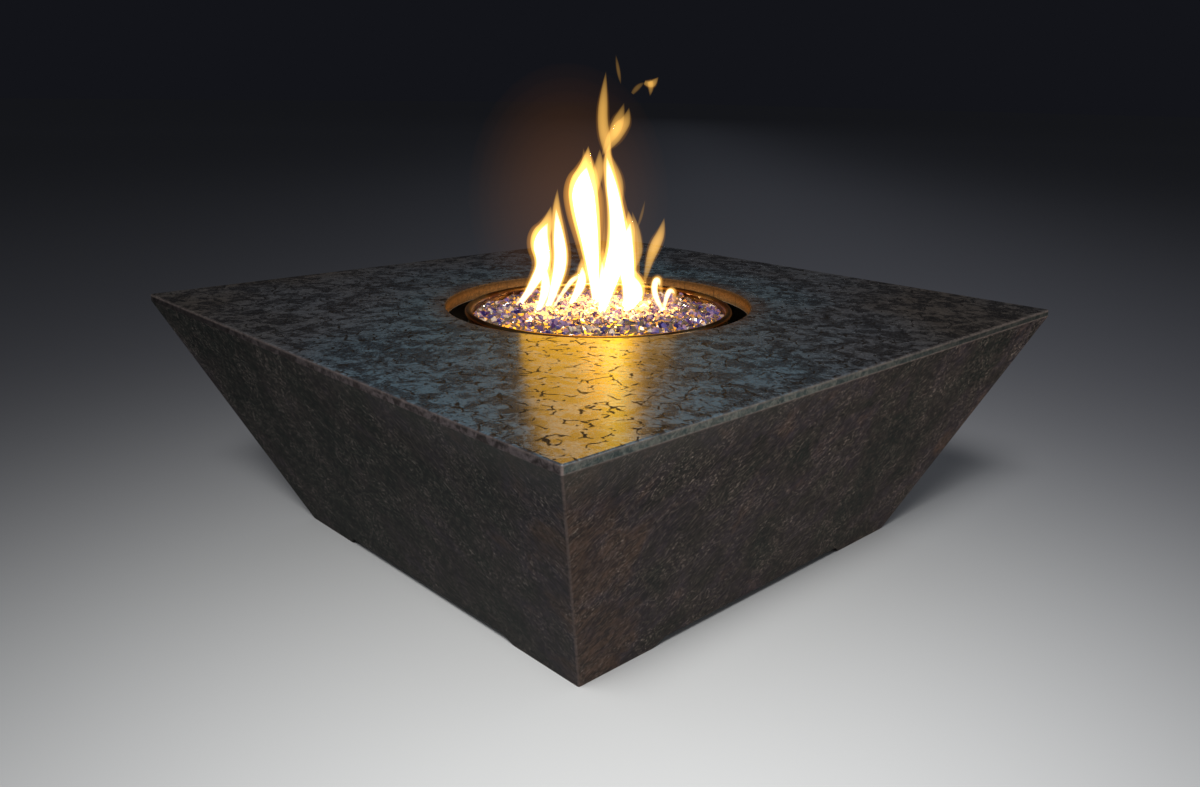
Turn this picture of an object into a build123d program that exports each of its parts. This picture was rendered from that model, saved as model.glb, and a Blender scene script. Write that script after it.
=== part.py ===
from build123d import *
import math
import os

# Square gas fire table: a glass-fibre concrete body with sides that lean in towards the
# floor, a round opening in its top, and in the opening a drop-in burner pan filled with
# fire glass. A quarter-turn key valve in the service side feeds the burner through a
# flexible metal hose. Millimetres, +Z up. The origin is on the floor at the centre of
# the base. The service side is +Y.

# Concrete body
TOP_SIDE = 1219.2
BASE_SIDE = 812.8
HEIGHT = 457.2
LIP_HEIGHT = 12.7  # upright band round the top, above the leaning sides
TOP_THICKNESS = 25.4
WALL = 20.0  # square to a leaning side
CORNER_RADIUS = 4.0
TOP_EDGE_RADIUS = 2.5
OPENING_EDGE_RADIUS = 3.0
FOOT_LENGTH = 155.0  # along each side, from the corner of the base
NOTCH_HEIGHT = 16.0  # shallow arch between two feet, for air and the gas line
NOTCH_RAMP = 18.0
NOTCH_FILLET = 8.0

# Burner pan, pressed stainless steel with a rolled rim
PAN_DIAMETER = 508.0  # over the rim
PAN_GAP = 34.9  # all round, from the rim out to the wall of the opening
PAN_DEPTH = 76.0
PAN_DROP = 7.5  # from the top of the table down to the rim
PAN_SHEET = 1.5
PAN_BEND = 10.0
RIM_BEAD_DIAMETER = 12.7
RIM_OPEN_WIDTH = 2.35  # left between the rolled edge and the outside of the bead
DRAIN_COUNT = 6
DRAIN_DIAMETER = 9.5
DRAIN_CIRCLE_RADIUS = 160.0

# Brackets that carry the pan, with their bolts and the inserts cast into the concrete
BRACKET_COUNT = 4
BRACKET_ANGLE = 45.0  # of the first, from +X
BRACKET_WIDTH = 60.0
BRACKET_PLATE = 4.0
BRACKET_EDGE_GAP = 8.0  # from the edge of the opening out to the bracket's upright leg
BRACKET_TAB = 52.0  # under the concrete
BRACKET_REACH = 65.0  # how far the lower tab goes in under the pan's floor
BOLT_SPACING = 32.0
BOLT_RADIUS = 4.0
BOLT_CLEARANCE = 0.5
BOLT_END_GAP = 1.0
BOLT_HEAD_FLATS = 13.0
BOLT_HEAD_HEIGHT = 5.3
WASHER_WIDTH = 3.5  # of the ring, from its hole out
WASHER_THICKNESS = 1.6
INSERT_WALL = 1.9
INSERT_LENGTH = 16.0

# Burner: tube rings, spokes and a hub, welded together
BURNER_TUBE_RADIUS = 8.0
BURNER_TUBE_WALL = 1.5
OUTER_RING_GAP = 20.0  # from the pan's wall in to the outer ring
INNER_RING_RADIUS = 112.0
OUTER_PORT_COUNT = 48
INNER_PORT_COUNT = 24
PORT_RADIUS = 1.2
JOINT_HOLE_RADIUS = 5.5  # where one tube opens into another
SPOKE_COUNT = 4
HUB_RADIUS = 20.0
HUB_CAP = 6.0  # above the tubes
HUB_CHAMFER = 2.0
TUBE_RAISE = 8.0  # from the end of the gas inlet up to the axis of the tubes

# Pipework under the burner
PIPE_RADIUS = 10.65
PIPE_WALL = 3.15
PIPE_GRIP = 13.0  # length of thread held in a fitting
NIPPLE_LENGTH = 50.0
GASKET_WIDTH = 9.0
GASKET_THICKNESS = 2.0
LOCKNUT_WALL = 5.3  # least, from the thread out to a flat
LOCKNUT_THICKNESS = 8.0
FITTING_WALL = 3.8  # of the elbows, from the thread out
ELBOW_SHOULDER = 1.0  # left between the ball of an elbow and the end of the pipe
ELBOW_REACH = 30.0
FLARE_RADIUS = 11.9  # 15/16 in thread, for 5/8 in tube
FLARE_LENGTH = 15.0
GAS_BORE_RADIUS = 6.0
JET_LENGTH = 8.0
JET_HOLE_RADIUS = 1.3

# Flexible metal hose and its nuts
HOSE_RADIUS = 8.0
HOSE_WALL = 1.6
HOSE_NUT_WALL = 1.5  # least, from the thread out to a flat
HOSE_NUT_LENGTH = 26.0
HOSE_BENDS = [(200, 350, 290), (255, 170, 280)]  # between its two straight leads
HOSE_VALVE_LEAD = 140.0
HOSE_BURNER_LEAD = 156.0
BEND_SHARE = 0.45  # of the shorter run beside a bend, used by its arc

# Key valve, square to the leaning +Y side. Depths are measured in from the outer face.
VALVE_X = -180.0
VALVE_Z = 300.0
VALVE_DEPTH = 75.0  # of the pipe's axis
VALVE_INLET_LENGTH = 34.0
VALVE_BODY_WALL = 8.0  # round the ball's cavity
CAP_STEP = 2.4  # from the cavity out to the end cap's thread
CAP_JOINT = 12.0  # from the floor of the cavity to the face of the end cap
CAP_FLATS = 34.0
CAP_LENGTH = 18.0
BALL_RADIUS = 11.7
BALL_BORE_RADIUS = 7.0
BALL_SHARE_IN_CAVITY = 1.7  # how far the ball reaches past the cavity's floor into a seat
SEAT_WIDTH = 2.0
SEAT_STEP = 1.0  # from the ball's bore out to the seat's
SEAT_DEPTH = 4.0
STEM_RADIUS = 5.7
STEM_SQUARE = 7.9
STEM_SQUARE_LENGTH = 16.0
STEM_SQUARE_FOOT = 44.0  # its depth
STEM_COLLAR_WIDTH = 1.8
STEM_COLLAR_THICKNESS = 2.6
TANG_WIDTH = 4.0
TANG_DEPTH = 3.0
GLAND_LENGTH = 6.0
PACKING_LENGTH = 6.0
PACKING_WIDTH = 2.3
BARREL_WALL = 3.0
BARREL_STAND = 6.0  # past the outer face
WALL_HOLE_CLEARANCE = 1.0
VALVE_NUT_WALL = 4.9  # least, from the thread out to a flat
VALVE_NUT_THICKNESS = 7.0
VALVE_WASHER_WIDTH = 10.0
VALVE_WASHER_THICKNESS = 2.0
ESCUTCHEON_RADIUS = 38.0
ESCUTCHEON_THICKNESS = 3.0
ESCUTCHEON_BOSS_WALL = 6.0
ESCUTCHEON_BOSS_HEIGHT = 9.0
ESCUTCHEON_ROUND = 1.8
ADAPTER_HEX_LENGTH = 10.0

# Lift-out key with a T handle
KEY_LENGTH = 104.0
KEY_CLEARANCE = 1.0  # in the barrel
KEY_SOCKET_CLEARANCE = 0.2
KEY_SOCKET_DEPTH = 14.0
KEY_HEAD_LENGTH = 24.0
KEY_NECK = 1.8  # how much the shaft is thinner than its head
KEY_HANDLE_RADIUS = 5.0
KEY_HANDLE_LENGTH = 68.0
KEY_HANDLE_ROUND = 2.5

# Fire glass
GLASS_CLEARANCE = 0.6
GLASS_EDGE_DROP = 1.0  # below the rim's bead, at the wall of the pan
GLASS_CROWN_DROP = 3.0  # below the top of the table, at the middle
HOLLOW_DEPTH = 8.0  # of the hollows between the bed's lumps, about 60 mm apart
LUMP_RING_COUNT = 4  # rings of lumps and hollows round the middle lump

# Fits
SLIP = 0.1  # radial, between a thread or tube and what it is screwed or set into
RUNNING = 0.08  # radial, round the turning stem
TURNING_GAP = 0.3  # between other faces of which one turns or slides

BASE_ALIGN = (Align.CENTER, Align.CENTER, Align.MIN)

# Heights and radii that follow from these
side_lean = math.atan((TOP_SIDE - BASE_SIDE) / 2 / (HEIGHT - LIP_HEIGHT))
wall_level = WALL / math.cos(side_lean)  # the wall's width on a level line
top_underside = HEIGHT - TOP_THICKNESS
opening_radius = PAN_DIAMETER / 2 + PAN_GAP
rim_top = HEIGHT - PAN_DROP
bead_radius = RIM_BEAD_DIAMETER / 2
pan_wall_radius = PAN_DIAMETER / 2 - bead_radius
pan_underside = rim_top - PAN_DEPTH
pan_floor = pan_underside + PAN_SHEET
bracket_leg_radius = opening_radius + BRACKET_EDGE_GAP
bolt_circle_radius = bracket_leg_radius + (BRACKET_PLATE + BRACKET_TAB) / 2
bolt_hole_radius = BOLT_RADIUS + BOLT_CLEARANCE
insert_radius = BOLT_RADIUS + SLIP + INSERT_WALL

thread_radius = PIPE_RADIUS + SLIP
pipe_bore_radius = PIPE_RADIUS - PIPE_WALL
nipple_top = pan_floor + PIPE_GRIP
nipple_bottom = nipple_top - NIPPLE_LENGTH
elbow_radius = thread_radius + FITTING_WALL
elbow_drop = elbow_radius + ELBOW_SHOULDER  # from the pipe's end to the elbow's axis
elbow_z = nipple_bottom - elbow_drop
flare_end = ELBOW_REACH + FLARE_LENGTH
hose_nut_flats = 2 * (FLARE_RADIUS + SLIP + HOSE_NUT_WALL)

burner_z = nipple_top + TUBE_RAISE
tube_bore_radius = BURNER_TUBE_RADIUS - BURNER_TUBE_WALL
outer_ring_radius = pan_wall_radius - PAN_SHEET - OUTER_RING_GAP - BURNER_TUBE_RADIUS
hub_top = burner_z + BURNER_TUBE_RADIUS + HUB_CAP
half_spoke_step = 180 / SPOKE_COUNT

cavity_radius = BALL_RADIUS + TURNING_GAP
valve_body_radius = cavity_radius + VALVE_BODY_WALL
seat_face = BALL_RADIUS - BALL_SHARE_IN_CAVITY  # from the ball's centre
seat_bore_radius = BALL_BORE_RADIUS + SEAT_STEP
seat_radius = seat_bore_radius + SEAT_WIDTH
cap_thread_radius = cavity_radius + CAP_STEP
cap_face = seat_face + CAP_JOINT
outlet_face = cap_face + CAP_LENGTH
outlet_end = outlet_face + ADAPTER_HEX_LENGTH + FLARE_LENGTH
ball_slot_floor = -VALVE_DEPTH + BALL_RADIUS - TANG_DEPTH
gland_high = -STEM_SQUARE_FOOT - TURNING_GAP
gland_low = gland_high - GLAND_LENGTH
packing_low = gland_low - PACKING_LENGTH
collar_high = packing_low - TURNING_GAP
barrel_floor = collar_high - STEM_COLLAR_THICKNESS - TURNING_GAP
barrel_bore_radius = STEM_RADIUS + PACKING_WIDTH
barrel_radius = barrel_bore_radius + BARREL_WALL
key_head_radius = barrel_bore_radius - KEY_CLEARANCE
key_tip = -STEM_SQUARE_FOOT + STEM_SQUARE_LENGTH - KEY_SOCKET_DEPTH
key_end = key_tip + KEY_LENGTH


def half_width(z):
    """Half the body's outer width at height z on the leaning part."""
    return BASE_SIDE / 2 + z * math.tan(side_lean)


valve_frame = Plane(
    origin=(VALVE_X, half_width(VALVE_Z), VALVE_Z),
    x_dir=(1, 0, 0),
    z_dir=(0, math.cos(side_lean), -math.sin(side_lean)),
)
valve_centre = valve_frame.from_local_coords(Vector(0, 0, -VALVE_DEPTH))
valve_pipe = Location(valve_centre) * Rot(0, 90, 0)  # its local +Z runs along +X


def rod(radius, low, high):
    """An upright cylinder between two heights."""
    return Pos(0, 0, low) * Cylinder(radius, high - low, align=BASE_ALIGN)


def tube(radius, bore_radius, low, high):
    return rod(radius, low, high) - rod(bore_radius, low, high)


def hexagon(flats, low, high):
    outline = RegularPolygon(flats / 2, 6, major_radius=False)
    return Pos(0, 0, low) * extrude(outline, high - low)


def hex_nut(flats, bore_radius, low, high):
    return hexagon(flats, low, high) - rod(bore_radius, low, high)


def around(count, first_angle=0.0):
    """Rotations about the upright axis, evenly spaced."""
    return [Rot(0, 0, first_angle + 360 / count * i) for i in range(count)]


# Concrete body


def square_block(side_points):
    """Square at every level, from the points up its +X side, with its corners rounded."""
    opposite_side = [(-x, z) for x, z in reversed(side_points)]
    outline = Polygon(*side_points, *opposite_side, align=None)
    prism = extrude(Plane.XZ * outline, TOP_SIDE, both=True)
    block = prism & Rot(0, 0, 90) * prism
    return fillet(block.edges().filter_by(Plane.XY, reverse=True), CORNER_RADIUS)


def body_outside():
    side_top = (TOP_SIDE / 2, HEIGHT - LIP_HEIGHT)
    body = square_block([(BASE_SIDE / 2, 0), side_top, (TOP_SIDE / 2, HEIGHT)])
    return fillet(body.edges().group_by(Axis.Z)[-1], TOP_EDGE_RADIUS)


def body_hollow():
    hollow_top = (half_width(top_underside) - wall_level, top_underside)
    return square_block([(BASE_SIDE / 2 - wall_level, 0), hollow_top])


def notch():
    """The arch between two feet, cut right through the body along Y."""
    end = BASE_SIDE / 2 - FOOT_LENGTH
    outline = Polygon(
        (-end - NOTCH_RAMP, -NOTCH_HEIGHT),
        (-end + NOTCH_RAMP, NOTCH_HEIGHT),
        (end - NOTCH_RAMP, NOTCH_HEIGHT),
        (end + NOTCH_RAMP, -NOTCH_HEIGHT),
        align=None,
    )
    shoulders = outline.vertices().group_by(Axis.Y)[-1]
    outline = fillet(shoulders, NOTCH_FILLET)
    return extrude(Plane.XZ * outline, BASE_SIDE, both=True)


def bolt_places():
    """The bolts' places on the underside of the top, two to a bracket."""
    places = []
    for turn in around(BRACKET_COUNT, BRACKET_ANGLE):
        for side in (-1, 1):
            offset = (bolt_circle_radius, side * BOLT_SPACING / 2, top_underside)
            places.append(turn * Pos(*offset))
    return places


def concrete_body():
    body = body_outside() - body_hollow() - rod(opening_radius, top_underside, HEIGHT)
    opening_edge = body.faces().sort_by(Axis.Z)[-1].inner_wires()[0].edges()
    body = fillet(opening_edge, OPENING_EDGE_RADIUS) - notch() - Rot(0, 0, 90) * notch()
    pocket = rod(insert_radius + SLIP, 0, INSERT_LENGTH)
    body -= [place * pocket for place in bolt_places()]
    wall_hole = rod(barrel_radius + WALL_HOLE_CLEARANCE, -2 * WALL, WALL)
    return body - valve_frame * wall_hole


def threaded_inserts():
    insert = tube(insert_radius, BOLT_RADIUS + SLIP, 0, INSERT_LENGTH)
    return [place * insert for place in bolt_places()]


# Pan and brackets


def support_brackets():
    inner = pan_wall_radius - BRACKET_REACH
    leg = bracket_leg_radius
    outline = Polygon(
        (leg, top_underside),
        (leg + BRACKET_TAB, top_underside),
        (leg + BRACKET_TAB, top_underside - BRACKET_PLATE),
        (leg + BRACKET_PLATE, top_underside - BRACKET_PLATE),
        (leg + BRACKET_PLATE, pan_underside - BRACKET_PLATE),
        (inner, pan_underside - BRACKET_PLATE),
        (inner, pan_underside),
        (leg, pan_underside),
        align=None,
    )
    strip = extrude(Plane.XZ * outline, BRACKET_WIDTH / 2, both=True)
    hole = rod(bolt_hole_radius, -2 * BRACKET_PLATE, BRACKET_PLATE)
    holes = [place * hole for place in bolt_places()]
    return [turn * strip - holes for turn in around(BRACKET_COUNT, BRACKET_ANGLE)]


def bolt_washers():
    low = -BRACKET_PLATE - WASHER_THICKNESS
    washer = tube(bolt_hole_radius + WASHER_WIDTH, bolt_hole_radius, low, -BRACKET_PLATE)
    return [place * washer for place in bolt_places()]


def bracket_bolts():
    seat = -BRACKET_PLATE - WASHER_THICKNESS
    bolt = rod(BOLT_RADIUS, seat, INSERT_LENGTH - BOLT_END_GAP)
    bolt += hexagon(BOLT_HEAD_FLATS, seat - BOLT_HEAD_HEIGHT, seat)
    return [place * bolt for place in bolt_places()]


def burner_pan():
    outside = rod(pan_wall_radius, pan_underside, rim_top - bead_radius)
    outside = fillet(outside.edges().group_by(Axis.Z)[0], PAN_BEND)
    inside = rod(pan_wall_radius - PAN_SHEET, pan_floor, rim_top)
    inside = fillet(inside.edges().group_by(Axis.Z)[0], PAN_BEND - PAN_SHEET)
    bead_centre = Pos(0, 0, rim_top - bead_radius)
    pan = outside - inside + bead_centre * Torus(pan_wall_radius, bead_radius)
    pan -= bead_centre * Torus(pan_wall_radius, bead_radius - PAN_SHEET)
    rolled_edge = PAN_DIAMETER / 2 - RIM_OPEN_WIDTH
    pan -= bead_centre * tube(PAN_DIAMETER / 2, rolled_edge, -bead_radius, 0)
    drain = rod(DRAIN_DIAMETER / 2, pan_underside, pan_floor)
    spread = 180 / DRAIN_COUNT
    pan -= [turn * Pos(DRAIN_CIRCLE_RADIUS, 0, 0) * drain for turn in around(DRAIN_COUNT, spread)]
    return pan - rod(thread_radius, pan_underside, pan_floor)


# Burner


def spoke_rod(radius):
    """A level rod along +X, from the hub's axis to the outer ring's centre line."""
    return Pos(0, 0, burner_z) * Rot(0, 90, 0) * rod(radius, 0, outer_ring_radius)


def spoke_rods(radius):
    return [turn * spoke_rod(radius) for turn in around(SPOKE_COUNT, half_spoke_step)]


def ring_tube(ring_radius, degrees):
    """A stretch of a ring of tube, turned from +X."""
    section = Circle(BURNER_TUBE_RADIUS) - Circle(tube_bore_radius)
    return revolve(Plane.XZ * Pos(ring_radius, burner_z) * section, Axis.Z, degrees)


def ports(ring_radius, count):
    port = rod(PORT_RADIUS, burner_z, burner_z + 2 * BURNER_TUBE_RADIUS)
    half_step = 180 / count
    return [turn * Pos(ring_radius, 0, 0) * port for turn in around(count, half_step)]


def burner_outer_ring():
    """Rolled arcs, butt-welded halfway between the spokes."""
    cuts = spoke_rods(JOINT_HOLE_RADIUS) + ports(outer_ring_radius, OUTER_PORT_COUNT)
    arc = ring_tube(outer_ring_radius, 2 * half_spoke_step)
    return [turn * arc - cuts for turn in around(SPOKE_COUNT)]


def burner_inner_ring():
    """One arc between each two spokes."""
    cuts = spoke_rods(BURNER_TUBE_RADIUS + SLIP / 2) + ports(INNER_RING_RADIUS, INNER_PORT_COUNT)
    arc = ring_tube(INNER_RING_RADIUS, 2 * half_spoke_step)
    return [turn * arc - cuts for turn in around(SPOKE_COUNT, half_spoke_step)]


def burner_spokes():
    outer_ring = Pos(0, 0, burner_z) * Torus(outer_ring_radius, BURNER_TUBE_RADIUS + SLIP / 2)
    inner_joint = Pos(0, 0, burner_z) * Torus(INNER_RING_RADIUS, JOINT_HOLE_RADIUS)
    spoke = spoke_rod(BURNER_TUBE_RADIUS) - outer_ring
    spoke -= rod(HUB_RADIUS + SLIP / 2, pan_floor, hub_top)
    spoke -= spoke_rod(tube_bore_radius)
    spoke -= inner_joint
    return [turn * spoke for turn in around(SPOKE_COUNT, half_spoke_step)]


def burner_hub():
    hub = rod(HUB_RADIUS, pan_floor, hub_top)
    hub = chamfer(hub.edges().group_by(Axis.Z)[-1], HUB_CHAMFER)
    hub -= rod(thread_radius, pan_floor, nipple_top)
    hub -= rod(pipe_bore_radius, nipple_top, burner_z)
    return hub - spoke_rods(tube_bore_radius)


# Pipework under the burner


def pan_gasket():
    low = pan_underside - GASKET_THICKNESS
    return tube(thread_radius + GASKET_WIDTH, thread_radius, low, pan_underside)


def pan_locknut():
    high = pan_underside - GASKET_THICKNESS
    low = high - LOCKNUT_THICKNESS
    return hex_nut(2 * (thread_radius + LOCKNUT_WALL), thread_radius, low, high)


def inlet_nipple():
    return tube(PIPE_RADIUS, pipe_bore_radius, nipple_bottom, nipple_top)


def elbow(arm_length):
    """An elbow at the origin, with a plain arm upwards and a flared end along +X."""
    run = Rot(0, 90, 0)
    body = Sphere(elbow_radius) + rod(elbow_radius, 0, arm_length)
    body += run * rod(elbow_radius, 0, ELBOW_REACH)
    body += run * rod(FLARE_RADIUS, 0, flare_end)
    body -= rod(pipe_bore_radius, 0, arm_length)
    return body - run * rod(GAS_BORE_RADIUS, 0, flare_end)


def burner_elbow():
    socket_top = elbow_drop + PIPE_GRIP
    body = elbow(socket_top) - rod(thread_radius, elbow_drop, socket_top)
    return Pos(0, 0, elbow_z) * body


def gas_jet():
    jet = tube(GAS_BORE_RADIUS - SLIP, JET_HOLE_RADIUS, 0, JET_LENGTH)
    return Pos(ELBOW_REACH - JET_LENGTH, 0, elbow_z) * Rot(0, 90, 0) * jet


# Key valve


def valve_body():
    """Round body with the inlet at -X, and a threaded barrel out through the wall."""
    body = valve_pipe * rod(valve_body_radius, -VALVE_INLET_LENGTH, cap_face)
    body += valve_frame * rod(barrel_radius, -VALVE_DEPTH, BARREL_STAND)
    body -= valve_pipe * rod(cavity_radius, -seat_face, seat_face)
    body -= valve_pipe * rod(cap_thread_radius + SLIP, seat_face, cap_face)
    body -= valve_pipe * rod(seat_radius + SLIP, -seat_face - SEAT_DEPTH, -seat_face)
    body -= valve_pipe * rod(seat_bore_radius, -VALVE_INLET_LENGTH, -seat_face)
    grip = rod(thread_radius, -VALVE_INLET_LENGTH, -VALVE_INLET_LENGTH + PIPE_GRIP)
    body -= valve_pipe * grip
    body -= valve_frame * rod(STEM_RADIUS + RUNNING, -VALVE_DEPTH, 0)
    return body - valve_frame * rod(barrel_bore_radius, barrel_floor, BARREL_STAND)


def stem_ring(low, high):
    """A ring that fills the barrel round the stem."""
    return valve_frame * tube(barrel_bore_radius - SLIP, STEM_RADIUS + RUNNING, low, high)


def stem_packing():
    return stem_ring(packing_low, gland_low)


def packing_gland():
    return stem_ring(gland_low, gland_high)


def valve_end_cap():
    """Screwed into the body after the ball and its seats, with the outlet at +X."""
    cap = rod(cap_thread_radius, seat_face, cap_face)
    cap += hexagon(CAP_FLATS, cap_face, outlet_face)
    cap -= rod(seat_radius + SLIP, seat_face, seat_face + SEAT_DEPTH)
    cap -= rod(seat_bore_radius, seat_face, outlet_face)
    return valve_pipe * (cap - rod(thread_radius, outlet_face - PIPE_GRIP, outlet_face))


def ball_seats():
    """Two rings hollowed to fit the ball."""
    ball_room = Sphere(BALL_RADIUS + TURNING_GAP)
    seat = tube(seat_radius, seat_bore_radius, 0, seat_face + SEAT_DEPTH) - ball_room
    return [valve_pipe * seat, valve_pipe * Rot(180, 0, 0) * seat]


def valve_ball():
    ball = Location(valve_centre) * Sphere(BALL_RADIUS)
    ball -= valve_pipe * rod(BALL_BORE_RADIUS, -BALL_RADIUS, BALL_RADIUS)
    slot = Box(2 * BALL_RADIUS, TANG_WIDTH + SLIP, 2 * TANG_DEPTH, align=BASE_ALIGN)
    return ball - valve_frame * Pos(0, 0, ball_slot_floor) * slot


def valve_stem():
    """A square for the key, a collar under the packing, and a tang in the ball's slot."""
    tang = Box(2 * STEM_RADIUS, TANG_WIDTH, TANG_DEPTH, align=BASE_ALIGN)
    tang &= rod(STEM_RADIUS, 0, TANG_DEPTH)
    stem = rod(STEM_RADIUS, ball_slot_floor + TANG_DEPTH, -STEM_SQUARE_FOOT)
    stem += Pos(0, 0, ball_slot_floor) * tang
    collar_low = collar_high - STEM_COLLAR_THICKNESS
    stem += rod(STEM_RADIUS + STEM_COLLAR_WIDTH, collar_low, collar_high)
    square = Box(STEM_SQUARE, STEM_SQUARE, STEM_SQUARE_LENGTH, align=BASE_ALIGN)
    stem += Pos(0, 0, -STEM_SQUARE_FOOT) * square
    return valve_frame * stem


def valve_washer():
    low = -WALL - VALVE_WASHER_THICKNESS
    bore_radius = barrel_radius + SLIP
    return valve_frame * tube(bore_radius + VALVE_WASHER_WIDTH, bore_radius, low, -WALL)


def valve_locknut():
    high = -WALL - VALVE_WASHER_THICKNESS
    bore_radius = barrel_radius + SLIP
    flats = 2 * (bore_radius + VALVE_NUT_WALL)
    return valve_frame * hex_nut(flats, bore_radius, high - VALVE_NUT_THICKNESS, high)


def escutcheon():
    bore_radius = barrel_radius + SLIP
    plate = rod(ESCUTCHEON_RADIUS, 0, ESCUTCHEON_THICKNESS)
    plate = fillet(plate.edges().group_by(Axis.Z)[-1], ESCUTCHEON_ROUND)
    boss = rod(bore_radius + ESCUTCHEON_BOSS_WALL, 0, ESCUTCHEON_BOSS_HEIGHT)
    plate += fillet(boss.edges().group_by(Axis.Z)[-1], ESCUTCHEON_ROUND)
    plate -= rod(bore_radius, 0, BARREL_STAND + SLIP)
    return valve_frame * (plate - rod(barrel_bore_radius, 0, ESCUTCHEON_BOSS_HEIGHT))


# Valve key


def key_shaft():
    shaft = rod(key_head_radius - KEY_NECK, key_tip, key_end)
    shaft += rod(key_head_radius, key_tip, key_tip + KEY_HEAD_LENGTH)
    width = STEM_SQUARE + 2 * KEY_SOCKET_CLEARANCE
    depth = KEY_SOCKET_DEPTH + KEY_SOCKET_CLEARANCE
    shaft -= Pos(0, 0, key_tip) * Box(width, width, depth, align=BASE_ALIGN)
    cross_hole = Cylinder(KEY_HANDLE_RADIUS, 2 * key_head_radius)
    return valve_frame * (shaft - Pos(0, 0, key_end) * Rot(0, 90, 0) * cross_hole)


def key_handle():
    """A bar welded across the end of the shaft."""
    bar = Cylinder(KEY_HANDLE_RADIUS, KEY_HANDLE_LENGTH)
    bar = fillet(bar.edges(), KEY_HANDLE_ROUND)
    return valve_frame * Pos(0, 0, key_end) * Rot(0, 90, 0) * bar


# Fittings at the valve


def inlet_elbow():
    """Screwed into the inlet, with its flared end turned straight down for the supply."""
    corner = valve_centre - Vector(VALVE_INLET_LENGTH + elbow_drop, 0, 0)
    thread = tube(PIPE_RADIUS, pipe_bore_radius, elbow_drop, elbow_drop + PIPE_GRIP)
    return Location(corner) * Rot(0, 90, 0) * (elbow(elbow_drop) + thread)


def outlet_adapter():
    """From the valve's pipe thread to the hose's flare."""
    hexagon_end = outlet_face + ADAPTER_HEX_LENGTH
    body = rod(PIPE_RADIUS, outlet_face - PIPE_GRIP, outlet_face)
    body += hexagon(hose_nut_flats, outlet_face, hexagon_end)
    body += rod(FLARE_RADIUS, hexagon_end, outlet_end)
    return valve_pipe * (body - rod(GAS_BORE_RADIUS, outlet_face - PIPE_GRIP, outlet_end))


# Hose


def hose_nut():
    """Over a flared end that points along +Z and stops at the origin."""
    low = -FLARE_LENGTH + TURNING_GAP
    high = low + HOSE_NUT_LENGTH
    nut = hexagon(hose_nut_flats, low, high) - rod(FLARE_RADIUS + SLIP, low, SLIP)
    return nut - rod(HOSE_RADIUS + SLIP, 0, high)


def hose_nuts():
    at_valve = valve_pipe * Pos(0, 0, outlet_end) * hose_nut()
    at_burner = Pos(flare_end, 0, elbow_z) * Rot(0, 90, 0) * hose_nut()
    return [at_valve, at_burner]


def hose_route():
    """From the valve's outlet to the burner's elbow, in one sagging bow."""
    start = valve_centre + Vector(outlet_end, 0, 0)
    end = Vector(flare_end, 0, elbow_z)
    bends = [Vector(*point) for point in HOSE_BENDS]
    first_bend = start + Vector(HOSE_VALVE_LEAD, 0, 0)
    last_bend = end + Vector(HOSE_BURNER_LEAD, 0, 0)
    return [start, first_bend, *bends, last_bend, end]


def bend_radii(points):
    """The largest radius that each corner's two runs allow."""
    radii = []
    for before, corner, after in zip(points, points[1:], points[2:]):
        arriving, leaving = corner - before, after - corner
        half_turn = math.radians(arriving.get_angle(leaving)) / 2
        run = min(arriving.length, leaving.length)
        radii.append(BEND_SHARE * run / math.tan(half_turn))
    return radii


def flex_hose():
    points = hose_route()
    radii = bend_radii(points)
    path = FilletPolyline(*points, radius=radii)
    bore_radius = HOSE_RADIUS - HOSE_WALL
    section = Circle(HOSE_RADIUS) - Circle(bore_radius)
    hose = sweep(Plane(origin=path @ 0, z_dir=path % 0) * section, path=path)
    plain_volume = math.pi * (HOSE_RADIUS**2 - bore_radius**2) * path.length
    print("hose bend radii", [round(radius) for radius in radii])
    print("hose length", round(path.length), "share of volume", round(hose.volume / plain_volume, 4))
    return hose


# Fire glass


def lump_rings(reach, crown_z, crown_radius):
    """Rings of points, each lump on a crowned surface and each hollow below it."""
    rings = [[Vector(0, 0, crown_z)]]
    for ring in range(1, LUMP_RING_COUNT + 1):
        ring_radius = reach * ring / LUMP_RING_COUNT
        lump_z = crown_z - crown_radius + math.sqrt(crown_radius**2 - ring_radius**2)
        points = []
        for step in range(6 * ring):
            angle = math.radians(60 / ring * step)
            z = lump_z - HOLLOW_DEPTH * ((step + ring) % 2)
            points.append(Vector(ring_radius * math.cos(angle), ring_radius * math.sin(angle), z))
        rings.append(points)
    return rings


def lumpy_block(rings, low):
    """A block from a level floor up to flat facets between the points of the rings."""
    outlines = []
    for ring, (inner, outer) in enumerate(zip(rings, rings[1:])):
        for sector in range(6):
            for step in range(ring + 1):
                near = inner[(sector * ring + step) % len(inner)]
                first = sector * (ring + 1) + step
                far = outer[(first + 1) % len(outer)]
                outlines.append([near, outer[first], far])
                if step < ring:
                    outlines.append([near, far, inner[(sector * ring + step + 1) % len(inner)]])
    border = rings[-1]
    floor = [Vector(point.X, point.Y, low) for point in border]
    for place, point in enumerate(border):
        after = (place + 1) % len(border)
        outlines.append([point, floor[place], floor[after], border[after]])
    outlines.append(floor)
    return Solid(Shell([Face(Wire.make_polygon(outline)) for outline in outlines]))


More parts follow.
